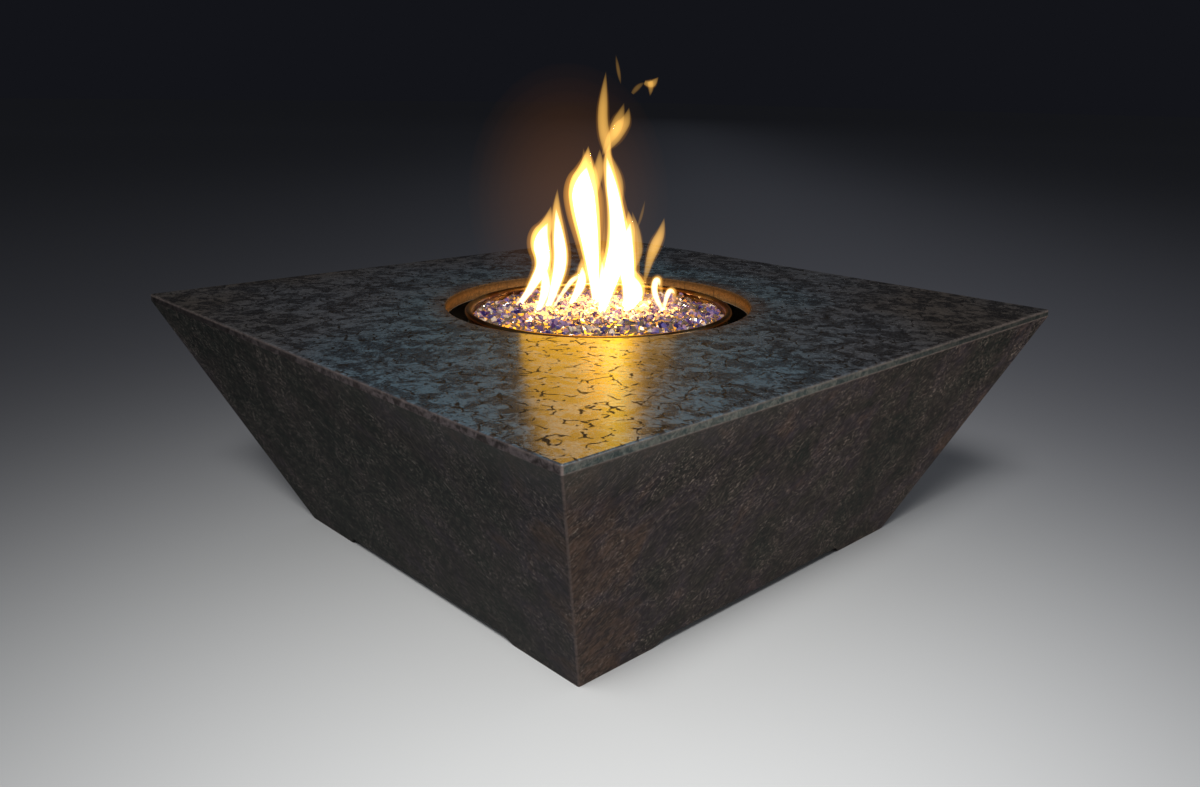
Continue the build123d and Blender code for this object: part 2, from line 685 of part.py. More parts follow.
def fire_glass():
    """One crowned, lumpy bed, clear of the pan and open from below round the burner."""
    edge_radius = pan_wall_radius - PAN_SHEET - GLASS_CLEARANCE
    low = pan_floor + GLASS_CLEARANCE
    edge_z = rim_top - RIM_BEAD_DIAMETER - GLASS_EDGE_DROP
    crown_z = HEIGHT - GLASS_CROWN_DROP
    crown_height = crown_z - edge_z
    crown_radius = (edge_radius**2 + crown_height**2) / (2 * crown_height)
    bed = rod(edge_radius, low, crown_z)
    bed = fillet(bed.edges().group_by(Axis.Z)[0], PAN_BEND)
    reach = edge_radius / math.cos(math.pi / (6 * LUMP_RING_COUNT)) + GLASS_CLEARANCE
    bed &= lumpy_block(lump_rings(reach, crown_z, crown_radius), pan_floor)
    room = BURNER_TUBE_RADIUS + GLASS_CLEARANCE
    high = burner_z + room
    for radius in (outer_ring_radius, INNER_RING_RADIUS):
        bed -= tube(radius + room, radius - room, pan_floor, high)
    channel_size = (outer_ring_radius, 2 * room, high - pan_floor)
    channel = Box(*channel_size, align=(Align.MIN, Align.CENTER, Align.MIN))
    for turn in around(SPOKE_COUNT, half_spoke_step):
        bed -= turn * Pos(0, 0, pan_floor) * channel
    return bed - rod(HUB_RADIUS + GLASS_CLEARANCE, pan_floor, hub_top + GLASS_CLEARANCE)


NODES = [
    concrete_body, threaded_inserts, support_brackets, bolt_washers, bracket_bolts,
    burner_pan, burner_outer_ring, burner_inner_ring, burner_spokes, burner_hub,
    pan_gasket, pan_locknut, inlet_nipple, burner_elbow, gas_jet,
    valve_body, stem_packing, packing_gland, valve_end_cap, ball_seats, valve_ball,
    valve_stem, valve_washer, valve_locknut, escutcheon, key_shaft, key_handle,
    inlet_elbow, outlet_adapter, hose_nuts, flex_hose, fire_glass,
]


def main():
    os.makedirs("parts", exist_ok=True)
    for node in NODES:
        shape = node()
        if isinstance(shape, list):
            shape = Compound(children=shape)
        export_step(shape, f"parts/{node.__name__}.step")


main()
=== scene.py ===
import math
import random

import bmesh
import bpy
from mathutils import Matrix, Vector


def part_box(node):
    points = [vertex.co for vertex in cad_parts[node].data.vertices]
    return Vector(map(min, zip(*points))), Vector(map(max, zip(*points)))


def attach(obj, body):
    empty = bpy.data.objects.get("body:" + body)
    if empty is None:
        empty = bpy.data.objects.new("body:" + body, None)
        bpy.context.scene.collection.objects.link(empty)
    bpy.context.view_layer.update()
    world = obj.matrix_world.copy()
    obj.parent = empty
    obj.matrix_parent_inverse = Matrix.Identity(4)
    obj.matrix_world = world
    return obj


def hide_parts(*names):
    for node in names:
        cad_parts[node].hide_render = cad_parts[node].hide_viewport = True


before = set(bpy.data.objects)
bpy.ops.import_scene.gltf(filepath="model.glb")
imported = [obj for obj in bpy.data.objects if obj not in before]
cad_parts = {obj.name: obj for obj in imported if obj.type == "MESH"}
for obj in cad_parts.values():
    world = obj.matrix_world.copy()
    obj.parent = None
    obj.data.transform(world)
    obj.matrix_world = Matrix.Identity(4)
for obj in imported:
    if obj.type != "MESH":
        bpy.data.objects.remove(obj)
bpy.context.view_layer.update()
bpy.ops.object.select_all(action="DESELECT")

# ---------------------------------------------------------------------------
# Concrete body. Cast in one piece from glass-fibre concrete, acid-stained, its top
# ground and sealed to a gloss, its leaning sides only trowelled and waxed. The stain
# pools in cloudy patches, and shrinkage leaves short hairline cracks in the seal.
# Its colour also carries painted light: a bluish sheen on the top, the fire's glow round the opening and on
# its wall, and highlights along the arrises and the foot.

body_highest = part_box("concrete_body")[1]
TOP_HALF, TOP_Z = body_highest.x, body_highest.z
BASE_HALF = 0.4064
LIP_Z = TOP_Z - 0.0127  # the lower edge of the upright lip round the top
UNDERSIDE_Z = TOP_Z - 0.0254
OPENING_RADIUS = 0.2889
STAIN_MM = 260.0  # drift of the stain from blue-grey to brown
PATCH_MM = 36.0  # cloudy patches of the stain
FLAKE_MM = 14.0  # small dark and light flakes in them
GRAIN_MM = 5.0  # sand in the ground face
CRACK_CELL_MM = 30.0  # between the hairline cracks
CRACK_SHARE = 0.065  # of a cell, drawn coarse enough to show
CRACK_WANDER_MM = 30.0  # over which a crack bends
CRACK_RUN_MM = 16.0  # of a crack before it breaks off
TROWEL_LENGTH_MM = 60.0  # streaks that the trowel leaves on the sides
TROWEL_WIDTH_MM = 3.5
CLOUD_MM = 120.0  # drift of the sides' stain from greenish black to brown
CLUSTER_MM = 55.0  # clusters of crumbs where the trowel tore the sides' face
RUB_MM = 9.0  # unevenness of the worn edges
SEAM_COUNT = 44  # fine upright seams that the mould's strips leave round the opening
ALONG_BAND = (0.707, -0.707, 0.0)  # towards the corner at +X -Y
ACROSS_BAND = (0.707, 0.707, 0.0)


def to_linear(hex_colour):
    """An sRGB hex colour as linear RGBA."""
    channels = [int(hex_colour[i : i + 2], 16) / 255 for i in (1, 3, 5)]
    return [c / 12.92 if c <= 0.04045 else ((c + 0.055) / 1.055) ** 2.4 for c in channels] + [1.0]


def new_material(name, colour, roughness, **constants):
    """A Principled material with its constant values set on the shader's own sockets."""
    material = bpy.data.materials.new(name)
    material.use_nodes = True
    sockets = material.node_tree.nodes["Principled BSDF"].inputs
    sockets["Base Color"].default_value = to_linear(colour)
    sockets["Roughness"].default_value = roughness
    for socket, value in constants.items():
        sockets[socket.replace("_", " ")].default_value = value
    return material


def add_node(material, kind, inputs=None, output=0, stops=(), **settings):
    """Adds a shader node with its settings, sets or links its inputs, and gives one output."""
    node = material.node_tree.nodes.new("ShaderNode" + kind)
    for setting, value in settings.items():
        setattr(node, setting, value)
    for socket, value in (inputs or {}).items():
        if isinstance(value, bpy.types.NodeSocket):
            material.node_tree.links.new(value, node.inputs[socket])
        else:
            node.inputs[socket].default_value = value
    for place, (position, colour) in enumerate(stops):
        if place >= len(node.color_ramp.elements):
            node.color_ramp.elements.new(position)
        node.color_ramp.elements[place].position = position
        node.color_ramp.elements[place].color = to_linear(colour)
    return node.outputs[output]


def link_shader(material, **sockets):
    """Links outputs to the sockets of the material's Principled shader."""
    shader = material.node_tree.nodes["Principled BSDF"]
    for socket, output in sockets.items():
        material.node_tree.links.new(output, shader.inputs[socket.replace("_", " ")])


def finish_nodes(material, *names):
    """Gives CAD nodes their finish."""
    for name in names:
        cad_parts[name].material_slots[0].material = material


concrete = new_material("stained_sealed_concrete", "#2c2e31", 0.7, Specular_IOR_Level=0.14,
                        Coat_Roughness=0.2, Coat_IOR=1.5)
place = add_node(concrete, "TexCoord", output="Object")
x, y, z = (add_node(concrete, "SeparateXYZ", {0: place}, output=axis) for axis in "XYZ")
x_size = add_node(concrete, "Math", {0: x}, operation="ABSOLUTE")
y_size = add_node(concrete, "Math", {0: y}, operation="ABSOLUTE")
outward = add_node(concrete, "Math", {0: x_size, 1: y_size}, operation="MAXIMUM")
ground_distance = add_node(concrete, "CombineXYZ", {0: x, 1: y})
radius = add_node(concrete, "VectorMath", {0: ground_distance}, output="Value", operation="LENGTH")

on_top = add_node(concrete, "MapRange", {"Value": z, "From Min": TOP_Z - 0.0022, "From Max": TOP_Z - 0.0006})
on_lip = add_node(concrete, "MapRange", {"Value": z, "From Min": LIP_Z - 0.001, "From Max": LIP_Z + 0.001})
in_opening = add_node(concrete, "MapRange", {"Value": radius, "From Min": OPENING_RADIUS + 0.0035,
                                             "From Max": OPENING_RADIUS + 0.0005})

# Stain: slow drift of hue, cloudy patches, and grain
drift = add_node(concrete, "TexNoise", {"Vector": place, "Scale": 1000 / STAIN_MM, "Detail": 3.0})
patches = add_node(concrete, "TexNoise", {"Vector": place, "Scale": 1000 / PATCH_MM, "Detail": 9.0,
                                          "Roughness": 0.72, "Distortion": 0.5})
patch = add_node(concrete, "MapRange", {"Value": patches, "From Min": 0.45, "From Max": 0.55},
                 interpolation_type="SMOOTHSTEP")
flakes = add_node(concrete, "TexNoise", {"Vector": place, "Scale": 1000 / FLAKE_MM, "Detail": 6.0,
                                         "Roughness": 0.66, "Distortion": 0.8})
dark_flake = add_node(concrete, "MapRange", {"Value": flakes, "From Min": 0.54, "From Max": 0.6,
                                             "To Max": 0.6})
light_flake = add_node(concrete, "MapRange", {"Value": flakes, "From Min": 0.42, "From Max": 0.36,
                                              "To Max": 0.7})
grain = add_node(concrete, "TexNoise", {"Vector": place, "Scale": 1000 / GRAIN_MM, "Detail": 4.0,
                                        "Roughness": 0.7})

# It is bluest in a band from the corner at +X -Y to the pit, grey beyond the pit, and brown at
# the two corners beside the band: the stain's own drift, with a painted bluish sheen in the band
off_band = add_node(concrete, "VectorMath", {0: place, 1: ACROSS_BAND}, output="Value",
                    operation="DOT_PRODUCT")
off_band = add_node(concrete, "Math", {0: off_band}, operation="ABSOLUTE")
painted_sheen_band = add_node(concrete, "MapRange", {"Value": off_band, "From Min": 0.72, "From Max": 0.12})
toward_corner = add_node(concrete, "VectorMath", {0: place, 1: ALONG_BAND}, output="Value",
                         operation="DOT_PRODUCT")
less_blue = add_node(concrete, "MapRange", {"Value": toward_corner, "From Min": -0.2, "From Max": -0.6,
                                            "To Min": -0.45, "To Max": -0.95})
stain_and_painted_sheen = add_node(concrete, "Math", {0: drift, 1: 0.9, 2: less_blue}, operation="MULTIPLY_ADD")
stain_and_painted_sheen = add_node(concrete, "Math", {0: painted_sheen_band, 1: stain_and_painted_sheen}, operation="ADD")
light_stain = add_node(concrete, "ValToRGB", {"Fac": stain_and_painted_sheen},
                       stops=((0.0, "#383430"), (0.45, "#3c4045"), (0.85, "#3d515c")))
dark_stain = add_node(concrete, "ValToRGB", {"Fac": stain_and_painted_sheen},
                      stops=((0.0, "#121110"), (0.45, "#15171a"), (0.85, "#182229")))
top_colour = add_node(concrete, "MixRGB", {"Fac": patch, "Color1": dark_stain, "Color2": light_stain})
top_colour = add_node(concrete, "MixRGB", {"Fac": dark_flake, "Color1": top_colour, "Color2": dark_stain})
pale_stain = add_node(concrete, "VectorMath", {0: light_stain, "Scale": 1.15}, operation="SCALE")
top_colour = add_node(concrete, "MixRGB", {"Fac": light_flake, "Color1": top_colour, "Color2": pale_stain})
from_vein = add_node(concrete, "Math", {0: flakes, 1: 0.5}, operation="SUBTRACT")
from_vein = add_node(concrete, "Math", {0: from_vein}, operation="ABSOLUTE")
vein = add_node(concrete, "MapRange", {"Value": from_vein, "From Min": 0.014, "From Max": 0.004,
                                       "To Max": 0.55})
vein_colour = add_node(concrete, "VectorMath", {0: light_stain, "Scale": 1.7}, operation="SCALE")
top_colour = add_node(concrete, "MixRGB", {"Fac": vein, "Color1": top_colour, "Color2": vein_colour})
from_edge = add_node(concrete, "Math", {0: patches, 1: 0.46}, operation="SUBTRACT")
from_edge = add_node(concrete, "Math", {0: from_edge}, operation="ABSOLUTE")
dark_edge = add_node(concrete, "MapRange", {"Value": from_edge, "From Min": 0.012, "From Max": 0.003,
                                            "To Max": 0.7})
top_colour = add_node(concrete, "MixRGB", {"Fac": dark_edge, "Color1": top_colour, "Color2": dark_stain})
sanded = add_node(concrete, "MapRange", {"Value": grain, "From Min": 0.35, "From Max": 0.65,
                                         "To Min": 0.65, "To Max": 1.3})
top_colour = add_node(concrete, "VectorMath", {0: top_colour, "Scale": sanded}, operation="SCALE")
# Painted glow of the fire: the top turns warm brown within 45 mm of the opening
painted_fire_glow = add_node(concrete, "MapRange", {"Value": radius, "From Min": OPENING_RADIUS + 0.045,
                                         "From Max": OPENING_RADIUS, "To Max": 0.55})
top_colour = add_node(concrete, "MixRGB", {"Fac": painted_fire_glow, "Color1": top_colour,
                                           "Color2": to_linear("#43301f")})

# Hairline cracks, broken into short runs
warp = add_node(concrete, "TexNoise", {"Vector": place, "Scale": 1000 / CRACK_WANDER_MM, "Detail": 3.0},
                output="Color")
warp = add_node(concrete, "VectorMath", {0: warp, "Scale": 0.022}, operation="SCALE")
warped = add_node(concrete, "VectorMath", {0: place, 1: warp}, operation="ADD")
crack_edge = add_node(concrete, "TexVoronoi", {"Vector": warped, "Scale": 1000 / CRACK_CELL_MM},
                      feature="DISTANCE_TO_EDGE")
crack_line = add_node(concrete, "MapRange", {"Value": crack_edge, "From Min": CRACK_SHARE,
                                             "From Max": CRACK_SHARE / 2})
broken = add_node(concrete, "TexNoise", {"Vector": place, "Scale": 1000 / CRACK_RUN_MM, "Detail": 2.0})
broken = add_node(concrete, "MapRange", {"Value": broken, "From Min": 0.5, "From Max": 0.54})
crack = add_node(concrete, "Math", {0: crack_line, 1: broken}, operation="MULTIPLY")
top_colour = add_node(concrete, "MixRGB", {"Fac": crack, "Color1": top_colour,
                                           "Color2": to_linear("#0f0f10")})

# Trowelled sides: diagonal streaks that rise away from the corner at +X -Y
faces_x = add_node(concrete, "Math", {0: x_size, 1: y_size}, operation="GREATER_THAN")
along_y_side = add_node(concrete, "Math", {0: x, 1: -1.0}, operation="MULTIPLY")
side_place = add_node(concrete, "Mix", {0: faces_x, 2: along_y_side, 3: y})
along = add_node(concrete, "Math", {0: side_place, 1: z}, operation="ADD")
across = add_node(concrete, "Math", {0: side_place, 1: z}, operation="SUBTRACT")
along = add_node(concrete, "Math", {0: along, 1: 1000 / TROWEL_LENGTH_MM}, operation="MULTIPLY")
across = add_node(concrete, "Math", {0: across, 1: 1000 / TROWEL_WIDTH_MM}, operation="MULTIPLY")
streak_place = add_node(concrete, "CombineXYZ", {0: along, 1: across, 2: faces_x})
streaks = add_node(concrete, "TexNoise", {"Vector": streak_place, "Scale": 1.0, "Detail": 4.0,
                                          "Roughness": 0.65})
streak = add_node(concrete, "MapRange", {"Value": streaks, "From Min": 0.48, "From Max": 0.7})
smear_place = add_node(concrete, "VectorMath", {0: streak_place, 1: (1.7, 0.17, 1.0)}, operation="MULTIPLY")
smears = add_node(concrete, "TexNoise", {"Vector": smear_place, "Scale": 1.0, "Detail": 6.0,
                                         "Roughness": 0.68, "Distortion": 1.0})
smear = add_node(concrete, "MapRange", {"Value": smears, "From Min": 0.4, "From Max": 0.62,
                                        "To Min": 0.35, "To Max": 2.0})
scratch_place = add_node(concrete, "VectorMath", {0: streak_place, 1: (3.6, 1.25, 1.0)}, operation="MULTIPLY")
scratches = add_node(concrete, "TexNoise", {"Vector": scratch_place, "Scale": 1.0, "Detail": 2.0})
scratch = add_node(concrete, "MapRange", {"Value": scratches, "From Min": 0.59, "From Max": 0.66})
crumb_place = add_node(concrete, "VectorMath", {0: streak_place, 1: (7.5, 0.8, 1.0)}, operation="MULTIPLY")
crumbs = add_node(concrete, "TexNoise", {"Vector": crumb_place, "Scale": 1.0, "Detail": 4.0,
                                         "Roughness": 0.65, "Distortion": 1.2})
clusters = add_node(concrete, "TexNoise", {"Vector": place, "Scale": 1000 / CLUSTER_MM, "Detail": 4.0})
clustered = add_node(concrete, "MapRange", {"Value": clusters, "From Min": 0.42, "From Max": 0.6,
                                            "To Min": 0.03})
crumb = add_node(concrete, "MapRange", {"Value": crumbs, "From Min": 0.58, "From Max": 0.64})
crumbly = add_node(concrete, "Math", {0: crumb, 1: clustered}, operation="MULTIPLY")
pitted = add_node(concrete, "MapRange", {"Value": crumbs, "From Min": 0.46, "From Max": 0.4, "To Max": 0.55})
corner = add_node(concrete, "Math", {0: x_size, 1: y_size}, operation="SUBTRACT")
corner = add_node(concrete, "Math", {0: corner}, operation="ABSOLUTE")
by_corner = add_node(concrete, "MapRange", {"Value": corner, "From Min": 0.16, "From Max": 0.02,
                                            "To Max": 0.14})
side_clouds = add_node(concrete, "TexNoise", {"Vector": place, "Scale": 1000 / CLOUD_MM, "Detail": 6.0,
                                              "Roughness": 0.62, "Distortion": 0.5})
side_clouds = add_node(concrete, "Math", {0: faces_x, 1: 0.09, 2: side_clouds}, operation="MULTIPLY_ADD")
side_clouds = add_node(concrete, "Math", {0: side_clouds, 1: by_corner}, operation="ADD")
browner = add_node(concrete, "MapRange", {"Value": toward_corner, "From Min": 0.1, "From Max": 0.7,
                                          "To Min": -0.15, "To Max": 0.0})
side_clouds = add_node(concrete, "Math", {0: side_clouds, 1: browner}, operation="ADD")
side_colour = add_node(concrete, "ValToRGB", {"Fac": side_clouds},
                       stops=((0.4, "#1b201d"), (0.5, "#2a2826"), (0.6, "#2f2b30"), (0.72, "#43362f")))
side_colour = add_node(concrete, "VectorMath", {0: side_colour, "Scale": smear}, operation="SCALE")
faint_streak = add_node(concrete, "Math", {0: streak, 1: 0.12}, operation="MULTIPLY")
side_marks = ((faint_streak, "#4b403c"), (pitted, "#0d0e0e"), (scratch, "#6c605a"), (crumbly, "#a89c92"))
for share, colour in side_marks:
    side_colour = add_node(concrete, "MixRGB", {"Fac": share, "Color1": side_colour,
                                                "Color2": to_linear(colour)})
# Painted highlight: the sides just under the lip turn lighter grey towards the corner at +X -Y
painted_highlight_under_lip = add_node(concrete, "MapRange", {"Value": toward_corner, "From Min": 0.4, "From Max": 0.8,
                                        "To Max": 0.6})
below_lip = add_node(concrete, "MapRange", {"Value": z, "From Min": 0.38, "From Max": LIP_Z})
painted_highlight_under_lip = add_node(concrete, "Math", {0: painted_highlight_under_lip, 1: below_lip}, operation="MULTIPLY")
side_colour = add_node(concrete, "MixRGB", {"Fac": painted_highlight_under_lip, "Color1": side_colour,
                                            "Color2": to_linear("#4c4d49")})

# The lip, grey-green on the X sides and brown on the others and lighter towards the corner at
# +X -Y, its top arris rubbed and with a painted highlight, and a painted highlight on its lower arris
specks = add_node(concrete, "MapRange", {"Value": flakes, "From Min": 0.42, "From Max": 0.58})
lip_colour = add_node(concrete, "MixRGB", {"Fac": faces_x, "Color1": to_linear("#241f1e"),
                                           "Color2": to_linear("#2a3333")})
lip_speck = add_node(concrete, "MixRGB", {"Fac": faces_x, "Color1": to_linear("#463f3f"),
                                          "Color2": to_linear("#4b4e4a")})
lip_colour = add_node(concrete, "MixRGB", {"Fac": specks, "Color1": lip_colour, "Color2": lip_speck})
lip_lighter_at_corner = add_node(concrete, "MapRange", {"Value": toward_corner, "From Min": 0.2, "From Max": 0.6,
                                          "To Min": 0.4, "To Max": 1.4})
lip_colour = add_node(concrete, "VectorMath", {0: lip_colour, "Scale": lip_lighter_at_corner}, operation="SCALE")
lip_colour = add_node(concrete, "VectorMath", {0: lip_colour, "Scale": sanded}, operation="SCALE")
# The top arris: rubbed thin, and lighter still as a painted highlight
rim_wear_and_highlight = add_node(concrete, "MapRange", {"Value": outward, "From Min": TOP_HALF - 0.0045,
                                           "From Max": TOP_HALF - 0.0015, "To Max": 0.4})
above_arris = add_node(concrete, "MapRange", {"Value": z, "From Min": TOP_Z - 0.005,
                                              "From Max": TOP_Z - 0.003})
rim_wear_and_highlight = add_node(concrete, "Math", {0: rim_wear_and_highlight, 1: above_arris}, operation="MULTIPLY")
# Painted highlight along the lip's lower arris, on the X sides only
from_lip = add_node(concrete, "Math", {0: z, 1: LIP_Z}, operation="SUBTRACT")
from_lip = add_node(concrete, "Math", {0: from_lip}, operation="ABSOLUTE")
painted_lip_arris_highlight = add_node(concrete, "MapRange", {"Value": from_lip, "From Min": 0.0022, "From Max": 0.0008,
                                           "To Max": 0.45})
painted_lip_arris_highlight = add_node(concrete, "Math", {0: painted_lip_arris_highlight, 1: faces_x}, operation="MULTIPLY")
rim_wear_and_highlight = add_node(concrete, "Math", {0: rim_wear_and_highlight, 1: painted_lip_arris_highlight}, operation="MAXIMUM")

# Worn corners, where the stain is rubbed thin, and a painted highlight along the foot
corner_wear = add_node(concrete, "MapRange", {"Value": corner, "From Min": 0.0036, "From Max": 0.0012})
# Painted highlight: a light line along the bottom edge of the feet
painted_foot_highlight = add_node(concrete, "MapRange", {"Value": z, "From Min": 0.0024, "From Max": 0.0008,
                                            "To Max": 0.6})
wear_and_highlights = add_node(concrete, "Math", {0: corner_wear, 1: rim_wear_and_highlight}, operation="MAXIMUM")
wear_and_highlights = add_node(concrete, "Math", {0: wear_and_highlights, 1: painted_foot_highlight}, operation="MAXIMUM")
# Unevenness along the edges, which breaks up the worn places and the painted highlights alike
rubbed = add_node(concrete, "TexNoise", {"Vector": place, "Scale": 1000 / RUB_MM, "Detail": 6.0,
                                         "Roughness": 0.7})
rubbed = add_node(concrete, "MapRange", {"Value": rubbed, "From Min": 0.3, "From Max": 0.6, "To Min": 0.15})
wear_and_highlights = add_node(concrete, "Math", {0: wear_and_highlights, 1: rubbed}, operation="MULTIPLY")
off_top = add_node(concrete, "Math", {0: 1.0, 1: on_top}, operation="SUBTRACT")
off_top = add_node(concrete, "Math", {0: off_top, 1: rim_wear_and_highlight}, operation="MAXIMUM")
wear_and_highlights = add_node(concrete, "Math", {0: wear_and_highlights, 1: off_top}, operation="MULTIPLY")

body_colour = add_node(concrete, "MixRGB", {"Fac": on_lip, "Color1": side_colour, "Color2": lip_colour})
body_colour = add_node(concrete, "MixRGB", {"Fac": on_top, "Color1": body_colour, "Color2": top_colour})
# The worn edges and the painted highlights share one light colour
body_colour = add_node(concrete, "MixRGB", {"Fac": wear_and_highlights, "Color1": body_colour,
                                            "Color2": to_linear("#786b66")})

# The opening's wall, scorched brown and with a painted glow of the fire: light gold-tan low in
# the wall, darker towards its upper edge
scorch_and_glow = add_node(concrete, "MapRange", {"Value": z, "From Min": TOP_Z - 0.02, "From Max": TOP_Z - 0.004})
wall_colour = add_node(concrete, "MixRGB", {"Fac": scorch_and_glow, "Color1": to_linear("#7c5e38"),
                                            "Color2": to_linear("#3d2f1c")})
wall_colour = add_node(concrete, "VectorMath", {0: wall_colour, "Scale": sanded}, operation="SCALE")
turn_round = add_node(concrete, "Math", {0: y, 1: x}, operation="ARCTAN2")
turn_round = add_node(concrete, "Math", {0: turn_round, 1: SEAM_COUNT / math.tau}, operation="MULTIPLY")
from_seam = add_node(concrete, "Math", {0: turn_round, 1: 1.0}, operation="PINGPONG")
seam = add_node(concrete, "MapRange", {"Value": from_seam, "From Min": 0.03, "From Max": 0.012,
                                       "To Max": 0.7})
wall_colour = add_node(concrete, "MixRGB", {"Fac": seam, "Color1": wall_colour,
                                            "Color2": to_linear("#1c130c")})
body_colour = add_node(concrete, "MixRGB", {"Fac": in_opening, "Color1": body_colour, "Color2": wall_colour})

# The hollow inside, left as cast: pale, unstained and unsealed
outer_half = add_node(concrete, "Math", {0: z, 1: (TOP_HALF - BASE_HALF) / LIP_Z, 2: BASE_HALF},
                      operation="MULTIPLY_ADD")
behind_face = add_node(concrete, "Math", {0: outer_half, 1: outward}, operation="SUBTRACT")
inside = add_node(concrete, "MapRange", {"Value": behind_face, "From Min": 0.008, "From Max": 0.012})
under_top = add_node(concrete, "MapRange", {"Value": z, "From Min": UNDERSIDE_Z + 0.0009,
                                            "From Max": UNDERSIDE_Z + 0.0002})
inside = add_node(concrete, "Math", {0: inside, 1: under_top}, operation="MULTIPLY")
body_colour = add_node(concrete, "MixRGB", {"Fac": inside, "Color1": body_colour,
                                            "Color2": to_linear("#a39d92")})

# The waxed sides are rough, and the seal lies only on the top, broken by the cracks
body_roughness = add_node(concrete, "MapRange", {"Value": smears, "From Min": 0.3, "From Max": 0.7,
                                                 "To Min": 0.62, "To Max": 0.85})
sealed = add_node(concrete, "Math", {0: 1.0, 1: crack}, operation="SUBTRACT")
sealed = add_node(concrete, "Math", {0: sealed, 1: on_top}, operation="MULTIPLY")
relief = add_node(concrete, "Math", {0: crack, 1: -1.0}, operation="MULTIPLY")
relief = add_node(concrete, "Math", {0: patch, 1: 0.35, 2: relief}, operation="MULTIPLY_ADD")
relief = add_node(concrete, "Math", {0: grain, 1: 0.25, 2: relief}, operation="MULTIPLY_ADD")
side_relief = add_node(concrete, "Math", {0: streaks, 1: 0.2, 2: grain}, operation="MULTIPLY_ADD")
side_relief = add_node(concrete, "Math", {0: crumbs, 1: 3.0, 2: side_relief}, operation="MULTIPLY_ADD")
relief = add_node(concrete, "Mix", {0: on_top, 2: side_relief, 3: relief})
bump = add_node(concrete, "Bump", {"Height": relief, "Strength": 0.4, "Distance": 0.0012})
link_shader(concrete, Base_Color=body_colour, Roughness=body_roughness, Normal=bump, Coat_Weight=sealed)
finish_nodes(concrete, "concrete_body")

# ---------------------------------------------------------------------------
# Brackets, bolts, washers, inserts and locknut. Bent and turned mild steel, zinc-plated
# and passivated, which leaves a bluish white metal with a faint drift of yellow.

FILM_MM = 9.0


def mottle(material, patch_mm, detail, gloss=(), tints=()):
    """Drifts a finish's roughness and colour over patches of a real size, and gives the drift."""
    place = add_node(material, "TexCoord", output="Object")
    uneven = add_node(material, "TexNoise", {"Vector": place, "Scale": 1000 / patch_mm, "Detail": detail})
    if gloss:
        roughness = add_node(material, "MapRange", {"Value": uneven, "To Min": gloss[0], "To Max": gloss[1]})
        link_shader(material, Roughness=roughness)
    if tints:
        link_shader(material, Base_Color=add_node(material, "ValToRGB", {"Fac": uneven}, stops=tints))
    return uneven


zinc = new_material("blue_passivated_zinc", "#b4b9bf", 0.36, Metallic=1.0)
mottle(zinc, FILM_MM, 3.0, gloss=(0.28, 0.46), tints=((0.35, "#9fa7b2"), (0.62, "#c4c0ad")))
finish_nodes(zinc, "support_brackets", "bracket_bolts", "bolt_washers", "threaded_inserts", "pan_locknut")

# ---------------------------------------------------------------------------
# Burner pan. Spun from 1.5 mm stainless sheet with its edge rolled over a wire. The
# fire has drawn straw and bronze tints into the rolled rim.

RIM_HEIGHT = 0.4497
SPIN_MARK_MM = 1.6  # the spinning tool's rings, drawn coarse enough to show
HEAT_TINT_MM = 70.0
pan_steel = new_material("spun_stainless", "#b3aca1", 0.3, Metallic=1.0)
place = add_node(pan_steel, "TexCoord", output="Object")
height = add_node(pan_steel, "SeparateXYZ", {0: place}, output="Z")
ring_height = add_node(pan_steel, "Math", {0: height, 1: 1000 / SPIN_MARK_MM}, operation="MULTIPLY")
level_radius = add_node(pan_steel, "VectorMath", {0: place, 1: (1.0, 1.0, 0.0)}, operation="MULTIPLY")
level_radius = add_node(pan_steel, "VectorMath", {0: level_radius}, output="Value", operation="LENGTH")
level_radius = add_node(pan_steel, "Math", {0: level_radius, 1: 1000 / SPIN_MARK_MM}, operation="MULTIPLY")
marks_place = add_node(pan_steel, "CombineXYZ", {0: level_radius, 1: ring_height})
marks = add_node(pan_steel, "TexNoise", {"Vector": marks_place, "Scale": 1.0, "Detail": 2.0})
heat = add_node(pan_steel, "TexNoise", {"Vector": place, "Scale": 1000 / HEAT_TINT_MM, "Detail": 3.0})
heat = add_node(pan_steel, "MapRange", {"Value": heat, "From Min": 0.3, "From Max": 0.7})
near_rim = add_node(pan_steel, "MapRange", {"Value": height, "From Min": RIM_HEIGHT - 0.03,
                                            "From Max": RIM_HEIGHT - 0.006})
heat = add_node(pan_steel, "Math", {0: heat, 1: near_rim}, operation="MULTIPLY")
pan_colour = add_node(pan_steel, "ValToRGB", {"Fac": heat},
                      stops=((0.0, "#a9a39a"), (0.35, "#b99a68"), (0.75, "#8a5f3c")))
pan_roughness = add_node(pan_steel, "MapRange", {"Value": marks, "To Min": 0.2, "To Max": 0.42})
pan_bump = add_node(pan_steel, "Bump", {"Height": marks, "Strength": 0.2, "Distance": 0.0003})
link_shader(pan_steel, Base_Color=pan_colour, Roughness=pan_roughness, Normal=pan_bump)
finish_nodes(pan_steel, "burner_pan")

# ---------------------------------------------------------------------------
# Burner. Two rings of stainless tube on four spokes and a hub, TIG-welded. It glows dull
# red in use, so it is scaled blue, straw and brown all over.

SCALE_TINT_MM = 45.0
burner_steel = new_material("heat_scaled_stainless", "#7c6a5a", 0.45, Metallic=1.0)
mottle(burner_steel, SCALE_TINT_MM, 4.0, gloss=(0.35, 0.6),
       tints=((0.35, "#4a5568"), (0.5, "#8d7452"), (0.64, "#5a4438")))
finish_nodes(burner_steel, "burner_outer_ring", "burner_inner_ring", "burner_spokes", "burner_hub")

# ---------------------------------------------------------------------------
# Pipework below the pan. A black malleable elbow and nipple, a fibre gasket under the
# pan's floor, and a turned brass jet in the elbow.

